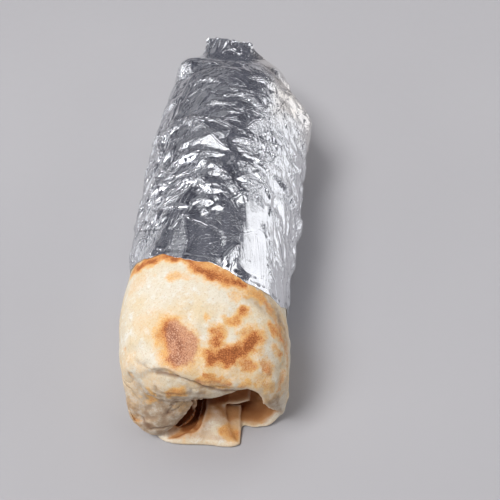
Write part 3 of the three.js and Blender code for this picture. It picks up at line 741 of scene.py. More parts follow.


# What the material reads: the lie of the folds, dull and calm places, creases and the painted warm
# reflection on the right side
def markFoil(mesh):
    points = pointsOf(mesh)
    degrees, sheet = onSheet(points)
    places = np.stack([*foldPlaces(degrees, points[:, 1]), np.zeros(len(points))], 1) * milli
    lay = mesh.attributes.new("alongFolds", "FLOAT_VECTOR", "POINT")
    lay.data.foreach_set("vector", places.astype(np.float32).ravel())
    wander = np.stack([cloud(points, 2.4, 45), cloud(points, 2.4, 46)], 1) * 0.5
    patches = [(inMillimetres(corners), strength, -0.5, 0.5) for corners, strength in foil["dull"]]
    for highEdge, lowEdge, _ in foil["leaves"]:
        outline = inMillimetres(highEdge) + inMillimetres(lowEdge)[::-1]
        patches.append((outline, foil["leafDull"], 0.2, 1.0))
    dull = np.zeros(len(points))
    for outline, strength, start, end in patches:
        within, gap = insideOf(sheet + wander, outline)
        dull = np.maximum(dull, strength * softStep(np.where(within, gap, -gap), start, end))
    calm = np.zeros(len(points))
    for corners, startReach, endReach, strength in foil["calm"]:
        gap, where, _ = nearLine(sheet + 3 * wander, inMillimetres(corners))
        reach = startReach + (endReach - startReach) * where
        calm = np.maximum(calm, strength * (1 - softStep(gap, reach * 0.7, reach * 1.1)))
    side, depth = creaseMarks(sheet + 0.6 * wander)
    aside, along = foil["warmFrom"]
    # a painted warm reflection on the right far flank
    warm = softStep(degrees, *aside) * softStep(points[:, 1], *along) * (0.6 + 0.4 * cloud(points, 8, 47))
    keepOnPoints(mesh, dull=dull, calm=calm, warm=warm,
                 creaseSide=0.5 + side / (2 * foil["creaseReach"]), creaseDepth=0.5 + depth / 2)


def buildFoil():
    side = foil["groundTurn"]
    ground = np.linspace(-side, side, foil["groundColumns"] + 1)[:-1]
    above = np.linspace(side, 1 - side, foil["topColumns"] + 1)[:-1]
    turn = np.concatenate([ground, above])
    surface = foilSurface(turn)
    relief = foilRelief(surface, turn)
    outside = surface + outwardNormals(surface) * relief[:, :, None]
    outside[:, :, 2] = np.maximum(outside[:, :, 2], 0)
    # the inside: from the mouth back along the bread to its rounded end
    inner = [outside[-1] - outwardNormals(surface)[-1] * foil["wall"]]
    inner[0][:, 2] = np.maximum(inner[0][:, 2], 0)
    mouth, gap = mouthAt(turn), roll["gap"]
    for share in foil["innerRows"]:
        inner.append(rollPoints(turn, mouth + (roll["capStart"] - mouth) * share, gap))
    length = roll["breadEnd"] + gap - roll["capStart"]
    for share in foil["capRows"]:
        inner.append(rollPoints(turn, roll["capStart"] + length * math.sin(share * math.pi / 2), gap))
    pole = np.array([-1.5, roll["breadEnd"] + gap, 25]) + np.array(roll["shift"])
    inner.append(np.repeat(pole[None], len(turn), 0))
    rows = np.concatenate([outside, np.stack(inner)])
    rows[-7:, :, 2] = np.maximum(rows[-7:, :, 2], 0.5)  # the innermost rows stay off the ground
    rows = np.concatenate([rows, rows[:, :1]], 1)  # back to the first column
    down, across = rows.shape[:2]
    shell = bmesh.new()
    bmesh.ops.create_grid(shell, x_segments=across - 1, y_segments=down - 1, size=0.5)
    for vertex in shell.verts:
        column = round((vertex.co.x + 0.5) * (across - 1))
        row = round((vertex.co.y + 0.5) * (down - 1))
        vertex.co = rows[row, column] * milli
    bmesh.ops.remove_doubles(shell, verts=shell.verts, dist=0.000002)
    bmesh.ops.recalc_face_normals(shell, faces=shell.faces)
    for face in shell.faces:
        face.smooth = True
    mesh = bpy.data.meshes.new("foilSleeve")
    shell.to_mesh(mesh)
    shell.free()
    markFoil(mesh)
    piece = bpy.data.objects.new("foilSleeve", mesh)
    bpy.context.scene.collection.objects.link(piece)
    print("foil sleeve:", len(mesh.polygons), "faces")
    return piece


# The flatbread

bread = {
    "voxel": 0.62,          # mm, the size of the fine mesh's faces
    "hiddenFrom": -46,      # y, from about there on the foil covers it
    "hiddenKeep": 0.06,     # the share of the hidden faces that is kept
    # Waves and dimples of the skin: width, height, seed
    "lumps": [(15, 0.45, 51), (7.5, 0.225, 52), (3.2, 0.2, 53), (1.6, 0.1, 54)],
    "blisters": 0.35,       # their height
    "cracks": 0.5,          # their depth
    "crackWidth": 0.16,     # as a share of the noise that draws them
    "flapFrom": (-4, 31),   # x and z, where the left flap's creases meet
    "flapWaves": 0.35,      # the height of its waves
    "sunkBy": 0.55,         # the share of its height that the lowest layer sinks
    "innerFold": 0.8,       # the height of its folds
    "smoothing": {"all": 3, "skin": 16, "hollows": 14},  # how often points are relaxed
    # Rays that ask how shut in a place is, for the shade painted in the hollows: how many, reach and start
    # in mm, and the flattest one
    "shelter": {"rays": 44, "reach": 80, "start": 0.25, "flattest": 0.15, "smoothing": 3},
    "goldReach": (0.55, 1.55),    # a toasted place fades between these shares of its radius
    "scorchReach": (0.2, 1.15),
    "blushReach": (0.7, 1.1),
    "greyReach": (0.3, 1.3),
    "deepReach": (0.5, 1.3),
    "freckles": 0.5,        # how golden the freckles and the broad patches are
    "patches": 0.34,
    # Toasted places: corners in mm, radius, how golden, how scorched
    "toast": [
        # the round spot, and the one like a bent arm
        ([(-14.9, -95.7, 51), (-12, -98.7, 50.1), (-10.9, -103.5, 47.9)], 7.5, 1.0, 1.1),
        ([(3.3, -94.4, 52.2), (3.5, -97.8, 50.5)], 3.0, 1.0, 1.0),
        ([(2, -103, 48.1), (7.2, -102.6, 47.2), (12.3, -100.1, 47.2)], 4.6, 1.0, 1.35),
        ([(12.3, -99.8, 47.4), (16, -96.8, 48), (18.2, -93.8, 48.5)], 4.4, 1.0, 1.05),
        ([(13.6, -103.4, 44.8), (17.1, -104, 43.1)], 3.0, 0.9, 0.8),
        ([(13.2, -94.6, 49.9), (17, -92.2, 49.7)], 2.8, 0.8, 0.5),
        ([(10.3, -88.9, 53), (13.2, -85.8, 52.9)], 2.6, 1.0, 0.8),
        ([(7.7, -90.9, 52.9), (11.1, -90.6, 52.1)], 2.4, 1.0, 0.95),
        ([(20.8, -101, 43.1), (23.2, -103.9, 39.4)], 2.8, 0.8, 0.7),
        ([(26, -94.8, 42.5), (27.7, -96.4, 39.6)], 2.0, 0.7, 0.6),
        ([(11.2, -78.5, 54.8), (9.9, -81.6, 54.8)], 2.0, 0.7, 0.2),
        ([(0.4, -109.4, 44.1), (3.8, -109.9, 43.1), (7.6, -110, 42.2)], 1.8, 1.0, 0.8),
        ([(-4.1, -101.8, 49.2), (-1.5, -102.4, 48.8)], 2.2, 0.8, 0.4),
        ([(-11.6, -111.5, 34.9), (-10.1, -111.5, 34.9)], 2.4, 0.9, 0.6),
        # small ones above it
        ([(7.2, -90.2, 53.2), (10.8, -90.2, 52.4)], 2.5, 1.0, 0.8),
        ([(13, -86.4, 52.9)], 2.2, 0.9, 0.6),
        ([(-0.4, -89.9, 54.2)], 1.8, 0.8, 0.4),
        ([(-15.3, -72.4, 56.5)], 2.6, 0.8, 0.3),
        ([(8.6, -79.6, 55.5)], 2.2, 0.7, 0.3),
        ([(-4, -106, 46), (6, -107.6, 44.5), (14, -107, 41.5)], 4.0, 0.5, 0.0),
        # along the foil's edge
        ([(-34, -60.5, 44), (-32.2, -61.8, 48), (-26.6, -60.6, 52.4), (-20.3, -60, 55.3),
          (-13.9, -61.6, 57.5), (-8.8, -64.4, 57.6), (-4.1, -66.8, 57.6), (0.4, -68.8, 57.4),
          (5.3, -71.4, 56.8), (10, -73.4, 55.5)], 3.5, 1.0, 0.95),
        ([(14, -75.5, 54), (20, -77.4, 51.4)], 2.8, 0.9, 0.6),
        ([(21.8, -79.3, 49.8), (24.4, -81.5, 47.2), (26.2, -85.5, 44.6), (27.6, -89.5, 41)],
         2.2, 0.55, 0.6),
        ([(-7, -67, 57.6), (-3, -69.9, 57.5), (0.7, -71.4, 57.3), (5, -73.4, 56.7)], 4.0, 1.0, 1.1),
        ([(-11, -72.6, 57.2)], 2.4, 0.6, 0.2),
        # the right side
        ([(23.4, -87.7, 47.1), (25.8, -89.4, 44.4)], 2.4, 0.9, 0.6),
        ([(20.8, -101.7, 42.7), (23.2, -103.3, 39.9)], 1.6, 0.7, 0.7),
        ([(26, -95.5, 42.2)], 1.6, 0.6, 0.45),
        ([(29, -89, 38), (30.5, -94, 34)], 3.0, 0.5, 0.4),
        ([(27.5, -101, 33), (27, -104.5, 30)], 2.2, 0.6, 0.45),
        ([(28.6, -99.7, 34.8)], 1.8, 0.6, 0.4),
        ([(21, -106.9, 38.3), (24.2, -107.6, 34)], 3.4, 0.7, 0.25),
        # the lip and the cuff below it
        ([(-2.2, -110.5, 42.2), (3.4, -110.9, 40.5), (8.2, -109.8, 38)], 2.4, 1.0, 0.7),
        ([(13, -109.9, 38.4), (17.6, -109.5, 37)], 2.0, 1.0, 0.65),
        ([(-10.4, -111.4, 35), (-13.6, -111.7, 33.6)], 2.8, 1.0, 0.6),
        ([(-23.1, -109.1, 31.6)], 2.4, 0.9, 0.4),
        ([(-23, -108.5, 24.8)], 2.6, 0.8, 0.35),
        ([(-30.1, -104.2, 34.1)], 1.8, 0.6, 0.4),
        ([(-33.8, -95.9, 37.6)], 1.8, 0.5, 0.35),
        # the foot of the tongue
        ([(6.7, -110.1, 3.5), (9.2, -111.5, 2.8), (12.5, -111.6, 1.8)], 3.0, 1.0, 0.65),
    ],
    # the pinkish middle of the round spot
    "blush": ([(-12.2, -96.4, 51.4), (-10.4, -99.1, 50.2), (-9.7, -103.5, 48)], 5.6),
    # painted shadow: a dark line on the cuff under the lip
    "underLip": [(-18.6, -106.5, 41.1), (-15.4, -107.2, 41.8), (-12.3, -107.9, 41.7), (-8.2, -110.1, 42.8),
                 (-4.5, -110.6, 41.5), (-0.5, -109.9, 38.3), (3.6, -109.9, 36.9), (7.4, -109.9, 35.8),
                 (11.2, -109.5, 34.7)],
    # greyish places, partly the bread's own tone and partly painted shade on undersides under the lip and
    # beside the right pocket: corners, radius, how grey
    "greyPlaces": [
        ([(18, -77, 52), (23, -79, 48.5), (26, -82, 45), (28.4, -87.5, 41)], 5.4, 1.0),
        ([(19.3, -94.2, 5), (22.4, -109.1, 24.8), (25.6, -108.1, 21.9)], 3.4, 0.95),
        ([(26.5, -108.4, 27), (28.5, -107, 15), (26, -108, 6)], 3.0, 1.0),
        ([(-1.3, -110.2, 37.7), (-1, -111.1, 33.6)], 2.6, 0.9),
        ([(-7.7, -110.6, 37.8), (-6.3, -111.5, 33.8)], 2.0, 0.6),
        ([(2.9, -110.1, 36.5), (8.1, -109.9, 33.7)], 2.2, 0.6),
    ],
    # left of the tongue's edge the lowest layer lies deeper and is creased: corners (x, y) in mm
    "tongueEdge": [
        (-8.9, -112.4), (-5.7, -110.4), (-4.2, -108.2), (-3.2, -104.3), (-2.6, -101.3), (-2.3, -97)],
    "innerFolds": [
        [(-5.0, -102.5), (-5.6, -106), (-7.4, -108.6), (-11, -110.6)],
    ],
    # deep places that no light reaches: corners, radius, how much darker
    "deep": [
        ([(-4.6, -103.5, 14), (-7, -105.6, 8), (-9.8, -107.2, 3)], 3.4, 0.4),
        ([(2, -97.5, 9), (10, -96.5, 9)], 3.5, 0.25),
    ],
    "cream": (0.80, 0.725, 0.585),
    # Colours laid over the cream: what they follow, from and to, how much at most, colour. They follow
    # noise of four sizes, from broad to speckle, or what toastBread has marked
    "layers": [
        ("broad", 0.4, 0.65, 1, (0.79, 0.64, 0.42)),
        ("mottle", 0.5, 0.72, 1, (0.86, 0.83, 0.745)),
        ("fine", 0.56, 0.68, 0.5, (0.56, 0.52, 0.36)),
        ("speckle", 0.56, 0.70, 0.35, (0.60, 0.42, 0.26)),
        # grey: partly the bread's own greyish tone, partly painted shade
        ("greyed", 0, 1, 1, (0.41, 0.28, 0.18)),
        # painted shade: darker brown in the hollows
        ("hollow", 0.60, 0.95, 0.7, (0.40, 0.22, 0.11)),
        ("golden", 0.1, 1.0, 0.92, (0.86, 0.49, 0.15)),
        ("scorched", 0.12, 0.9, 0.92, (0.58, 0.165, 0.038)),
        ("blush", 0, 1, 0.88, (0.62, 0.30, 0.17)),
        ("scorched", 0.72, 1.2, 0.85, (0.20, 0.05, 0.015)),
        ("darkDots", 0, 1, 1, (0.33, 0.12, 0.07)),
        ("paleDots", 0, 1, 1, (0.80, 0.52, 0.38)),
        # painted shade: warm brown, then dark brown, where a place is shut in by the bread round it
        ("shelter", 0.25, 0.50, 0.92, (0.54, 0.25, 0.08)),
        ("shelter", 0.46, 0.80, 0.88, (0.28, 0.08, 0.016)),
        # painted highlight: lighter on the edges
        ("hollow", 0.42, 0.15, 0.5, (0.84, 0.66, 0.46)),
        # painted shade in the cracks, and the painted shadow under the lip
        ("cracked", 0.1, 0.9, 0.8, (0.22, 0.12, 0.065)),
    ],
}


# A copy of the CAD node with small even faces, which can take the skin's relief
def finelyMeshed(node):
    source = bmesh.new()
    source.from_mesh(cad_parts[node].data)
    bmesh.ops.remove_doubles(source, verts=source.verts, dist=0.00001)
    mesh = bpy.data.meshes.new("breadRoll")
    source.to_mesh(mesh)
    source.free()
    piece = bpy.data.objects.new("breadRoll", mesh)
    bpy.context.scene.collection.objects.link(piece)
    remesh = piece.modifiers.new("fine", "REMESH")
    remesh.mode = "VOXEL"
    remesh.voxel_size = bread["voxel"] * milli
    takeModifiers(piece)
    return piece


def takeModifiers(piece):
    graph = bpy.context.evaluated_depsgraph_get()
    made = bpy.data.meshes.new_from_object(piece.evaluated_get(graph))
    old = piece.data
    piece.modifiers.clear()
    piece.data = made
    bpy.data.meshes.remove(old)


# Fewer faces where the foil covers the bread
def thinHidden(piece):
    points = pointsOf(piece.data)
    hidden = np.flatnonzero(points[:, 1] > bread["hiddenFrom"])
    group = piece.vertex_groups.new(name="hidden")
    group.add(hidden.tolist(), 1.0, "REPLACE")
    share = len(hidden) / len(points)
    decimate = piece.modifiers.new("thin", "DECIMATE")
    decimate.ratio = 1 - share * (1 - bread["hiddenKeep"])
    decimate.vertex_group = "hidden"
    decimate.vertex_group_factor = 10.0
    takeModifiers(piece)
    piece.vertex_groups.clear()


# How deep a place lies inside the roll's outline: 1 on the skin, less inside
def depthInRoll(points):
    p = points - np.array(roll["shift"])
    middle = (rollValue("top", p[:, 1]) - roll["restingFlat"]) / 2
    tall = middle + roll["restingFlat"]
    x = np.abs(p[:, 0] - rollValue("drift", p[:, 1])) / rollValue("half", p[:, 1])
    z = np.abs(p[:, 2] - middle) / tall
    return (x ** roll["roundness"] + z ** roll["roundness"]) ** (1 / roll["roundness"])


# Smooths the meshed bread, adds what the solid doesn't have, and marks it for its material
def shapeBread(piece):
    mesh = piece.data
    edges = edgesOf(mesh)
    points = pointsOf(mesh)
    # smoother on the skin than in the open folds
    skin = softStep(points[:, 1], -108, -98) * softStep(depthInRoll(points), 0.82, 0.93)
    shown = 1 - softStep(points[:, 1], bread["hiddenFrom"] - 6, bread["hiddenFrom"])
    times = bread["smoothing"]
    points = relax(points, edges, 0.5 * shown, times["all"])
    points = relax(points, edges, 0.5 * skin * shown, times["skin"])
    putPoints(mesh, points)
    points = sinkLayer(points, normalsOf(mesh), edges)
    putPoints(mesh, points)
    normals = normalsOf(mesh)
    # the material paints shade in the hollows and a highlight on the edges from how far a place lies in a
    # hollow or on an edge
    wide = relax(points, edges, 0.5 * shown, times["hollows"])
    hollow = np.sum((wide - points) * normals, axis=1)  # above 0 in a hollow, below 0 on an edge
    relief, cracked = breadRelief(points)
    # lower near the foil's edge and none under the foil
    bare = 1 - softStep(points[:, 1], -82, -72) * 0.8
    bare *= 1 - softStep(points[:, 1], -66, -60)
    relief *= bare * shown * softStep(points[:, 2], 0.5, 5)
    points = points + normals * relief[:, None]
    points[:, 2] = np.maximum(points[:, 2], 0.0)
    putPoints(mesh, points)
    toastBread(mesh, points, hollow, cracked, shelterOf(piece, points, normalsOf(mesh), edges))
    for polygon in mesh.polygons:
        polygon.use_smooth = True


# The skin's relief, and where it is cracked
def breadRelief(points):
    relief = sum(height * cloud(points, width, seed) for width, height, seed in bread["lumps"])
    relief += bread["blisters"] * softStep(cloud(points, 5.0, 55), 0.25, 0.7)
    # creases of the left flap, which spread from its right end, and of the cuff above it, along the cuff
    flap, cuff = flapAndCuff(points)
    x, z = points[:, 0] - bread["flapFrom"][0], points[:, 2] - bread["flapFrom"][1]
    turned, away = np.arctan2(-z, -x), np.hypot(x, z)
    nought = np.zeros(len(points))
    spread = np.stack([turned * 7, away / 11, nought], 1)
    spread += 0.25 * np.stack([cloud(points, 4, 57), cloud(points, 4, 58), nought], 1)
    along = points[:, [0, 2, 1]] / (13, 2.4, 6)
    cracked = flap * sharpLines(spread, 56) * softStep(away, 2, 9) + 0.7 * cuff * sharpLines(along, 59)
    relief -= bread["cracks"] * cracked
    relief += bread["flapWaves"] * flap * cloud(spread * 0.6, 1, 61)
    return relief, cracked


# The lowest layer lies deeper left of the tongue, and is creased there
def sinkLayer(points, normals, edges):
    x, y, z = points.T
    line = np.array(bread["tongueEdge"])
    share = softStep(np.interp(y, line[:, 1], line[:, 0]) - x, -0.3, 0.9)
    share *= softStep(normals[:, 2], 0.1, 0.4) * (1 - softStep(z, 13, 17))
    share *= softStep(-y, 96, 98) * softStep(y, -112, -109)
    share = relaxValues(share, edges, 1)
    moved = points.copy()
    moved[:, 2] -= bread["sunkBy"] * share * np.maximum(0, z - 1.8)
    for corners in bread["innerFolds"]:
        gap = nearLine(points[:, :2], corners)[0]
        moved[:, 2] += share ** 2 * bread["innerFold"] * (1 - softStep(gap, 0, 1.3))
    return relax(moved, edges, 0.5 * softStep(share, 0.05, 0.4), 4)


# Lines where noise passes nought: 1 on the line, 0 away from it
def sharpLines(places, seed):
    line = np.maximum(0, 1 - np.abs(cloud(places, 1, seed)) / bread["crackWidth"])
    return line * softStep(cloud(places * 0.5, 1, seed + 100), -0.6, 0.1)


# How far a place belongs to the left flap, and to the cuff above it
def flapAndCuff(points):
    x, y, z = points.T
    front = softStep(-y, 97, 104)
    flap = front * softStep(-x, -2, 3) * softStep(z, 1, 5) * softStep(-z, -34, -30)
    cuff = front * softStep(-x, -14, 4) * softStep(z, 30, 33) * (1 - softStep(z, 41, 45))
    return flap, cuff


# How far a place is shut in by the bread round it, from 0 in the open to 1; the material paints dark warm
# shade by it
def shelterOf(piece, points, normals, edges):
    ask = bread["shelter"]
    count, reach = ask["rays"], ask["reach"] * milli
    steps = np.arange(count) + 0.5
    height, bearing = 1 - 2 * steps / count, steps * math.pi * (1 + 5 ** 0.5)  # evenly over a ball
    flat = np.sqrt(1 - height ** 2)
    ways = np.stack([flat * np.cos(bearing), flat * np.sin(bearing), height], 1)
    tree = BVHTree.FromObject(piece, bpy.context.evaluated_depsgraph_get())
    shelter = np.zeros(len(points))
    # only in the open folds and on the skin round them
    asked = (points[:, 1] < -68) & ((depthInRoll(points) < 0.95) | (points[:, 1] < -95))
    rays = [Vector(way) for way in ways]
    for k in np.flatnonzero(asked):
        facing = ways @ normals[k]
        start = Vector((points[k] + ask["start"] * normals[k]) * milli)
        struck = total = 0.0
        for r in np.flatnonzero(facing > ask["flattest"]):
            total += facing[r]
            if tree.ray_cast(start, rays[r], reach)[0] is not None:
                struck += facing[r]
        shelter[k] = struck / max(total, 0.001)
    print("bread's hollows:", int(asked.sum()), "places asked")
    return relaxValues(shelter, edges, ask["smoothing"])


# What the material reads: toasted places, grey places that are partly painted shade, cracks with painted
# shade and a painted shadow under the lip, hollows and edges for painted shade and highlight, and how shut
# in places are, for more painted shade
def toastBread(mesh, points, hollow, cracked, shelter):
    x, y, z = points.T
    wander = np.stack([cloud(points, 4.2, 60 + k) for k in range(3)], 1)
    wanderFine = np.stack([cloud(points, 1.5, 63 + k) for k in range(3)], 1)
    moved = points + 1.5 * wander + 0.9 * wanderFine
    golden = np.zeros(len(points))
    scorched = np.zeros(len(points))
    uneven = 0.9 + 0.45 * cloud(points, 3.2, 66)
    for corners, radius, gold, scorch in bread["toast"]:
        golden = np.maximum(golden, gold * spotOf(moved, corners, radius, bread["goldReach"]))
        burnt = scorch * uneven * spotOf(moved, corners, radius, bread["scorchReach"])
        scorched = np.maximum(scorched, burnt)
    blush = spotOf(moved, *bread["blush"], bread["blushReach"])
    # small freckles and broad patches everywhere on the skin
    freckle = softStep(cloud(points, 2.6, 71), 0.45, 0.8) * softStep(cloud(points, 13, 72), -0.2, 0.5)
    golden = np.maximum(golden, bread["freckles"] * freckle)
    golden = np.maximum(golden, bread["patches"] * softStep(cloud(points, 10, 73), 0.1, 0.8))
    flap, cuff = flapAndCuff(points)
    lowLeft = softStep(-x, 22, 32) * softStep(-y, 90, 102)
    golden = np.maximum(golden, (0.22 + 0.25 * cloud(points, 5, 74)) * np.maximum(lowLeft, 0.8 * cuff))
    # grey on the left flap, the cuff and the right side: partly their greyish tone, partly painted shade on
    # the flap under the cuff and on the darker right side
    right = softStep(x, 16, 31) * softStep(-y, 76, 90)
    grey = np.maximum(np.maximum(flap, 0.15 * cuff), 0.2 * right)
    for corners, radius, share in bread["greyPlaces"]:
        grey = np.maximum(grey, share * spotOf(moved, corners, radius, bread["greyReach"]))
    grey *= 1 - 0.85 * lowLeft * (1 - softStep(-z, -27, -15))
    # more painted shade in the deep places
    for corners, radius, extra in bread["deep"]:
        shelter = shelter + extra * spotOf(moved, corners, radius, bread["deepReach"])
    # a painted shadow on the cuff just under the lip, laid in with the cracks
    line = np.array(bread["underLip"])
    below = softStep(np.interp(x, line[:, 0], line[:, 2]) - z, -0.4, 0.3)
    shaded = below * (1 - softStep(nearLine(points, line)[0], 0.3, 2.2))
    keepOnPoints(mesh, golden=golden, scorched=scorched, blush=blush, shelter=shelter, greyed=grey,
                 cracked=np.maximum(cracked, shaded), hollow=0.5 + hollow * 1.2)


# A spot along a line of corners: 1 in its middle, fading between two shares of its radius
def spotOf(points, corners, radius, reach):
    if len(corners) == 1:
        gap = np.linalg.norm(points - np.array(corners[0]), axis=1)
    else:
        gap = nearLine(points, corners)[0]
    return 1 - softStep(gap, radius * reach[0], radius * reach[1])


# Materials

# A node with its settings; each input is another node's socket or a value
def addNode(tree, kind, inputs=None, **settings):
    node = tree.nodes.new(kind)
    for name, value in settings.items():
        setattr(node, name, value)
    for name, value in (inputs or {}).items():
        if isinstance(value, bpy.types.NodeSocket):
            tree.links.new(value, node.inputs[name])
        else:
            node.inputs[name].default_value = value
    return node


# The colour sockets of a Mix node are its inputs 6 and 7
def mixColours(tree, share, first, second):
    return addNode(tree, "ShaderNodeMix", {0: share, 6: first, 7: second}, data_type="RGBA").outputs[2]


# A value from low to high becomes one from toLow to toHigh, and stays between them
def span(tree, value, low, high, toLow=0.0, toHigh=1.0):
    node = addNode(tree, "ShaderNodeMapRange", {
        "Value": value, "From Min": low, "From Max": high, "To Min": toLow, "To Max": toHigh})
    return node.outputs["Result"]


def maths(tree, way, *values):
    return addNode(tree, "ShaderNodeMath", dict(enumerate(values)), operation=way).outputs[0]


def vectorMaths(tree, way, *values):
    return addNode(tree, "ShaderNodeVectorMath", dict(enumerate(values)), operation=way).outputs


def newMaterial(name):
    material = bpy.data.materials.new(name)
    material.use_nodes = True
    tree = material.node_tree
    shader = tree.nodes["Principled BSDF"]
    place = addNode(tree, "ShaderNodeTexCoord").outputs["Object"]
    return material, tree, shader, place


# Noise from 0 to 1 with lumps about as wide as size, in mm
def noiseOf(tree, place, size, detail=3.0, roughness=0.5, distortion=0.0):
    node = addNode(tree, "ShaderNodeTexNoise", {
        "Vector": place, "Scale": 1 / (size * milli), "Detail": detail, "Roughness": roughness,
        "Distortion": distortion})
    return node.outputs["Fac"]


def attribute(tree, name):
    return addNode(tree, "ShaderNodeAttribute", attribute_name=name).outputs["Fac"]


# A bump on top of another; the distance is in mm
def bump(tree, height, strength, distance, under=None):
    inputs = {"Height": height, "Strength": strength, "Distance": distance * milli}
    if under:
        inputs["Normal"] = under
    return addNode(tree, "ShaderNodeBump", inputs).outputs["Normal"]


def breadMaterial():
    material, tree, shader, place = newMaterial("toastedFlatbread")
    mottle = noiseOf(tree, place, 3.2, 4, 0.6)
    fine = noiseOf(tree, place, 0.9, 3, 0.6)
    speckle = noiseOf(tree, place, 0.5, 2, 0.6)
    kept = {name: attribute(tree, name) for name in (
        "golden", "scorched", "greyed", "blush", "hollow", "shelter", "cracked")}
    follows = {**kept, "broad": noiseOf(tree, place, 14, 2), "mottle": mottle, "fine": fine,
               "speckle": speckle}
    for name, way, value in (
            ("greyed", "MULTIPLY", span(tree, mottle, 0.62, 0.4, 0.5, 1.0)),
            ("golden", "ADD", span(tree, fine, 0.3, 0.7, -0.2, 0.2)),
            ("scorched", "ADD", span(tree, speckle, 0.3, 0.7, -0.3, 0.3))):
        follows[name] = maths(tree, way, kept[name], value)
    for name, low, high in ("darkDots", 0.50, 0.64), ("paleDots", 0.44, 0.36):
        follows[name] = maths(tree, "MULTIPLY", kept["blush"], span(tree, speckle, low, high, 0, 0.6))
    colour = bread["cream"] + (1,)
    for name, low, high, most, tint in bread["layers"]:
        colour = mixColours(tree, span(tree, follows[name], low, high, 0, most), colour, tint + (1,))
    tree.links.new(colour, shader.inputs["Base Color"])
    tree.links.new(span(tree, mottle, 0.3, 0.7, 0.62, 0.85), shader.inputs["Roughness"])
    shader.inputs["Specular IOR Level"].default_value = 0.35
    pores = addNode(tree, "ShaderNodeTexVoronoi", {"Vector": place, "Scale": 1 / (1.3 * milli)})
    skin = bump(tree, mottle, 0.5, 0.4)
    skin = bump(tree, fine, 0.55, 0.26, skin)
    skin = bump(tree, pores.outputs["Distance"], 0.3, 0.15, skin)
    tree.links.new(skin, shader.inputs["Normal"])
    return material


# Heights of small flat cells that each lean their own way
def tiltedCells(tree, place, size):
    cells = addNode(tree, "ShaderNodeTexVoronoi", {"Vector": place, "Scale": 1 / (size * milli)})
    lean = vectorMaths(tree, "SUBTRACT", cells.outputs["Color"], (0.5, 0.5, 0.5))[0]
    offset = vectorMaths(tree, "SUBTRACT", place, cells.outputs["Position"])[0]
    return vectorMaths(tree, "DOT_PRODUCT", lean, offset)["Value"]


# Places pushed about by noise of one size, by up to the other, both in mm
def bentPlaces(tree, place, size, reach):
    bent = addNode(tree, "ShaderNodeTexNoise", {
        "Vector": place, "Scale": 1 / (size * milli), "Detail": 1.0})
    return vectorMaths(tree, "MULTIPLY_ADD", bent.outputs["Color"], (reach * milli,) * 3, place)[0]


def foilMaterial():
    material, tree, shader, place = newMaterial("crumpledFoil")
    bright, grey, warm = (tint + (1,) for tint in foil["colours"])
    dull, calm = attribute(tree, "dull"), attribute(tree, "calm")
    colour = mixColours(tree, span(tree, noiseOf(tree, place, 9, 2), 0.35, 0.65), bright, grey)
    # painted reflection: a warm tint on the right side
    colour = mixColours(tree, attribute(tree, "warm"), colour, warm)
    tree.links.new(colour, shader.inputs["Base Color"])
    shader.inputs["Metallic"].default_value = 1.0
    smooth = span(tree, noiseOf(tree, place, 2.2, 3, 0.6), 0.3, 0.7, 0.09, 0.19)
    roughness = maths(tree, "ADD", smooth, maths(tree, "MULTIPLY", dull, 0.15))
    tree.links.new(roughness, shader.inputs["Roughness"])
    # sharp creases along the folds
    side = maths(tree, "ABSOLUTE", maths(tree, "SUBTRACT", attribute(tree, "creaseSide"), 0.5))
    depth = maths(tree, "SUBTRACT", attribute(tree, "creaseDepth"), 0.5)
    skin = bump(tree, maths(tree, "MULTIPLY", span(tree, side, 0.17, 0.0), depth), 1.0, 0.7)
    # fine lines between them, drawn out along them
    lay = addNode(tree, "ShaderNodeAttribute", attribute_name="alongFolds").outputs["Vector"]
    drawnOut = addNode(tree, "ShaderNodeMapping", {"Vector": lay, "Scale": (0.36, 1.0, 1.0)})
    cells = addNode(tree, "ShaderNodeTexVoronoi", {
        "Vector": bentPlaces(tree, drawnOut.outputs["Vector"], 7, 4), "Scale": 1 / (5.5 * milli)},
        feature="DISTANCE_TO_EDGE")
    thin = span(tree, cells.outputs["Distance"], 0.06, 0.0)
    thin = maths(tree, "MULTIPLY", thin, span(tree, noiseOf(tree, place, 8, 2), 0.45, 0.6))
    skin = bump(tree, thin, span(tree, calm, 0.0, 1.0, 0.8, 0.25), 0.12, skin)
    # small flat cells that lean, and the finest crinkles
    crinkle = tiltedCells(tree, bentPlaces(tree, place, 2.0, 0.8), 1.5)
    skin = bump(tree, crinkle, span(tree, calm, 0.0, 1.0, 1.0, 0.3), 65, skin)
    finest = noiseOf(tree, place, 1.5, 3, 0.55, 0.4)
    skin = bump(tree, finest, span(tree, dull, 0.0, 1.0, 0.05, 0.9), 0.6, skin)
    tree.links.new(skin, shader.inputs["Normal"])
    return material


def floorMaterial():
    material, tree, shader, place = newMaterial("paleFloor")
    darker, lighter = (tint + (1,) for tint in studio["floorColours"])
    colour = mixColours(tree, noiseOf(tree, place, 160, 2), darker, lighter)
    tree.links.new(colour, shader.inputs["Base Color"])
    tree.links.new(span(tree, noiseOf(tree, place, 6, 3), 0.3, 0.7, 0.55, 0.7), shader.inputs["Roughness"])
    shader.inputs["Specular IOR Level"].default_value = 0.2
    tree.links.new(bump(tree, noiseOf(tree, place, 1.5, 3), 0.1, 0.1), shader.inputs["Normal"])
    return material


# Floor, camera and lights

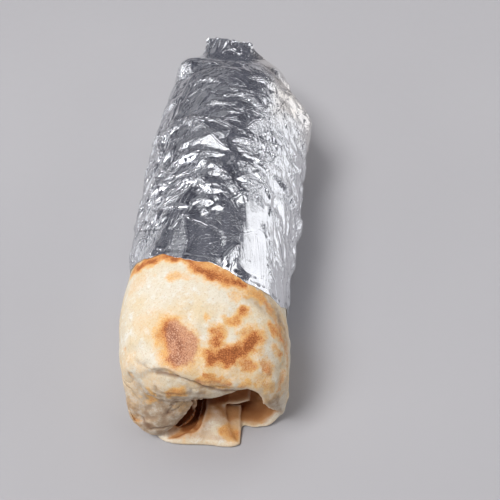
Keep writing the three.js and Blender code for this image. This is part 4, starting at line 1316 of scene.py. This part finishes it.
studio = {
    "floorSize": 6.0,
    "floorColours": [(0.45, 0.44, 0.453), (0.48, 0.47, 0.482)],
    # The photo's camera: metres, degrees and mm
    "target": (0.011794, -0.004348, 0.0),
    "distance": 0.391,
    "elevation": 47.3,
    "azimuth": 2.6,
    "lens": 55.3,
    "sensor": 36,
    # The room that the foil reflects, and what the camera sees behind the floor
    "patchesScale": 4.5,
    "shade": (0.026, 0.027, 0.041),
    "glow": (0.185, 0.187, 0.218),
    "backdrop": (0.30, 0.30, 0.305),
    "litPlace": (0, 0, 0.02),   # where the lights are aimed
    # Lights: direction (x, y, z), distance, width and height in metres, watts
    "lights": {
        "key": ((-0.42, -0.29, 0.87), 2.6, 1.15, 1.15, 56.0),
        "frontBox": ((-0.80, -0.62, 0.34), 1.6, 0.8, 0.5, 2.4),
        "topCard": ((-0.10, 0.23, 0.97), 1.0, 1.05, 0.46, 1.75),
        "haze": ((-0.10, 0.42, 0.90), 1.0, 0.95, 0.24, 0.33),
        "backCard": ((-0.34, 0.84, 0.42), 1.0, 0.58, 0.36, 0.14),
        "rightBox": ((0.70, 0.60, 0.38), 1.0, 0.85, 0.72, 2.1),
        "sideBox": ((0.93, -0.12, 0.34), 1.0, 0.75, 0.66, 1.5),
        "leftBox": ((-0.88, 0.39, 0.24), 1.0, 0.75, 0.34, 0.75),
    },
}


def buildFloor():
    flat = bmesh.new()
    bmesh.ops.create_grid(flat, x_segments=4, y_segments=4, size=studio["floorSize"] / 2)
    mesh = bpy.data.meshes.new("floor")
    flat.to_mesh(mesh)
    flat.free()
    piece = bpy.data.objects.new("floor", mesh)
    bpy.context.scene.collection.objects.link(piece)
    piece.data.materials.append(floorMaterial())
    return piece


def lookFrom(holder, place, target):
    holder.location = place
    holder.rotation_euler = (Vector(target) - Vector(place)).to_track_quat("-Z", "Y").to_euler()


def addCamera():
    data = bpy.data.cameras.new("view")
    data.lens = studio["lens"]
    data.sensor_width = studio["sensor"]
    data.clip_start = 0.01
    holder = bpy.data.objects.new("view", data)
    bpy.context.scene.collection.objects.link(holder)
    up, turned = math.radians(studio["elevation"]), math.radians(studio["azimuth"])
    back = Vector((math.sin(turned) * math.cos(up), -math.cos(turned) * math.cos(up), math.sin(up)))
    lookFrom(holder, Vector(studio["target"]) + back * studio["distance"], studio["target"])
    bpy.context.scene.camera = holder


def addLights():
    for name, (direction, far, width, height, power) in studio["lights"].items():
        data = bpy.data.lights.new(name, "AREA")
        data.shape = "RECTANGLE"
        data.size, data.size_y = width, height
        data.energy = power
        holder = bpy.data.objects.new(name, data)
        bpy.context.scene.collection.objects.link(holder)
        lookFrom(holder, Vector(direction).normalized() * far, studio["litPlace"])
        holder.visible_camera = False
    world = bpy.data.worlds.new("room")
    bpy.context.scene.world = world
    world.use_nodes = True
    tree = world.node_tree
    # soft patches of light and shade for the foil, and plain grey behind the floor
    way = addNode(tree, "ShaderNodeTexCoord").outputs["Generated"]
    patches = addNode(tree, "ShaderNodeTexNoise", {
        "Vector": way, "Scale": studio["patchesScale"], "Detail": 2.0, "Roughness": 0.6})
    share = span(tree, patches.outputs["Fac"], 0.36, 0.64)
    colour = mixColours(tree, share, studio["shade"] + (1,), studio["glow"] + (1,))
    seen = addNode(tree, "ShaderNodeLightPath").outputs["Is Camera Ray"]
    colour = mixColours(tree, seen, colour, studio["backdrop"] + (1,))
    tree.links.new(colour, tree.nodes["Background"].inputs["Color"])
    bpy.context.scene.view_settings.view_transform = "Standard"


floor = buildFloor()
addCamera()
addLights()
print("floor, camera and lights placed")

foilPiece = buildFoil()
foilPiece.data.materials.append(foilMaterial())
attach(foilPiece, "root")
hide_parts("foil")

breadPiece = finelyMeshed("flatbread")
thinHidden(breadPiece)
print("bread meshed:", len(breadPiece.data.polygons), "faces")
shapeBread(breadPiece)
breadPiece.data.materials.append(breadMaterial())
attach(breadPiece, "root")
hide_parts("flatbread")
print("bread shaped and toasted")

print("done")
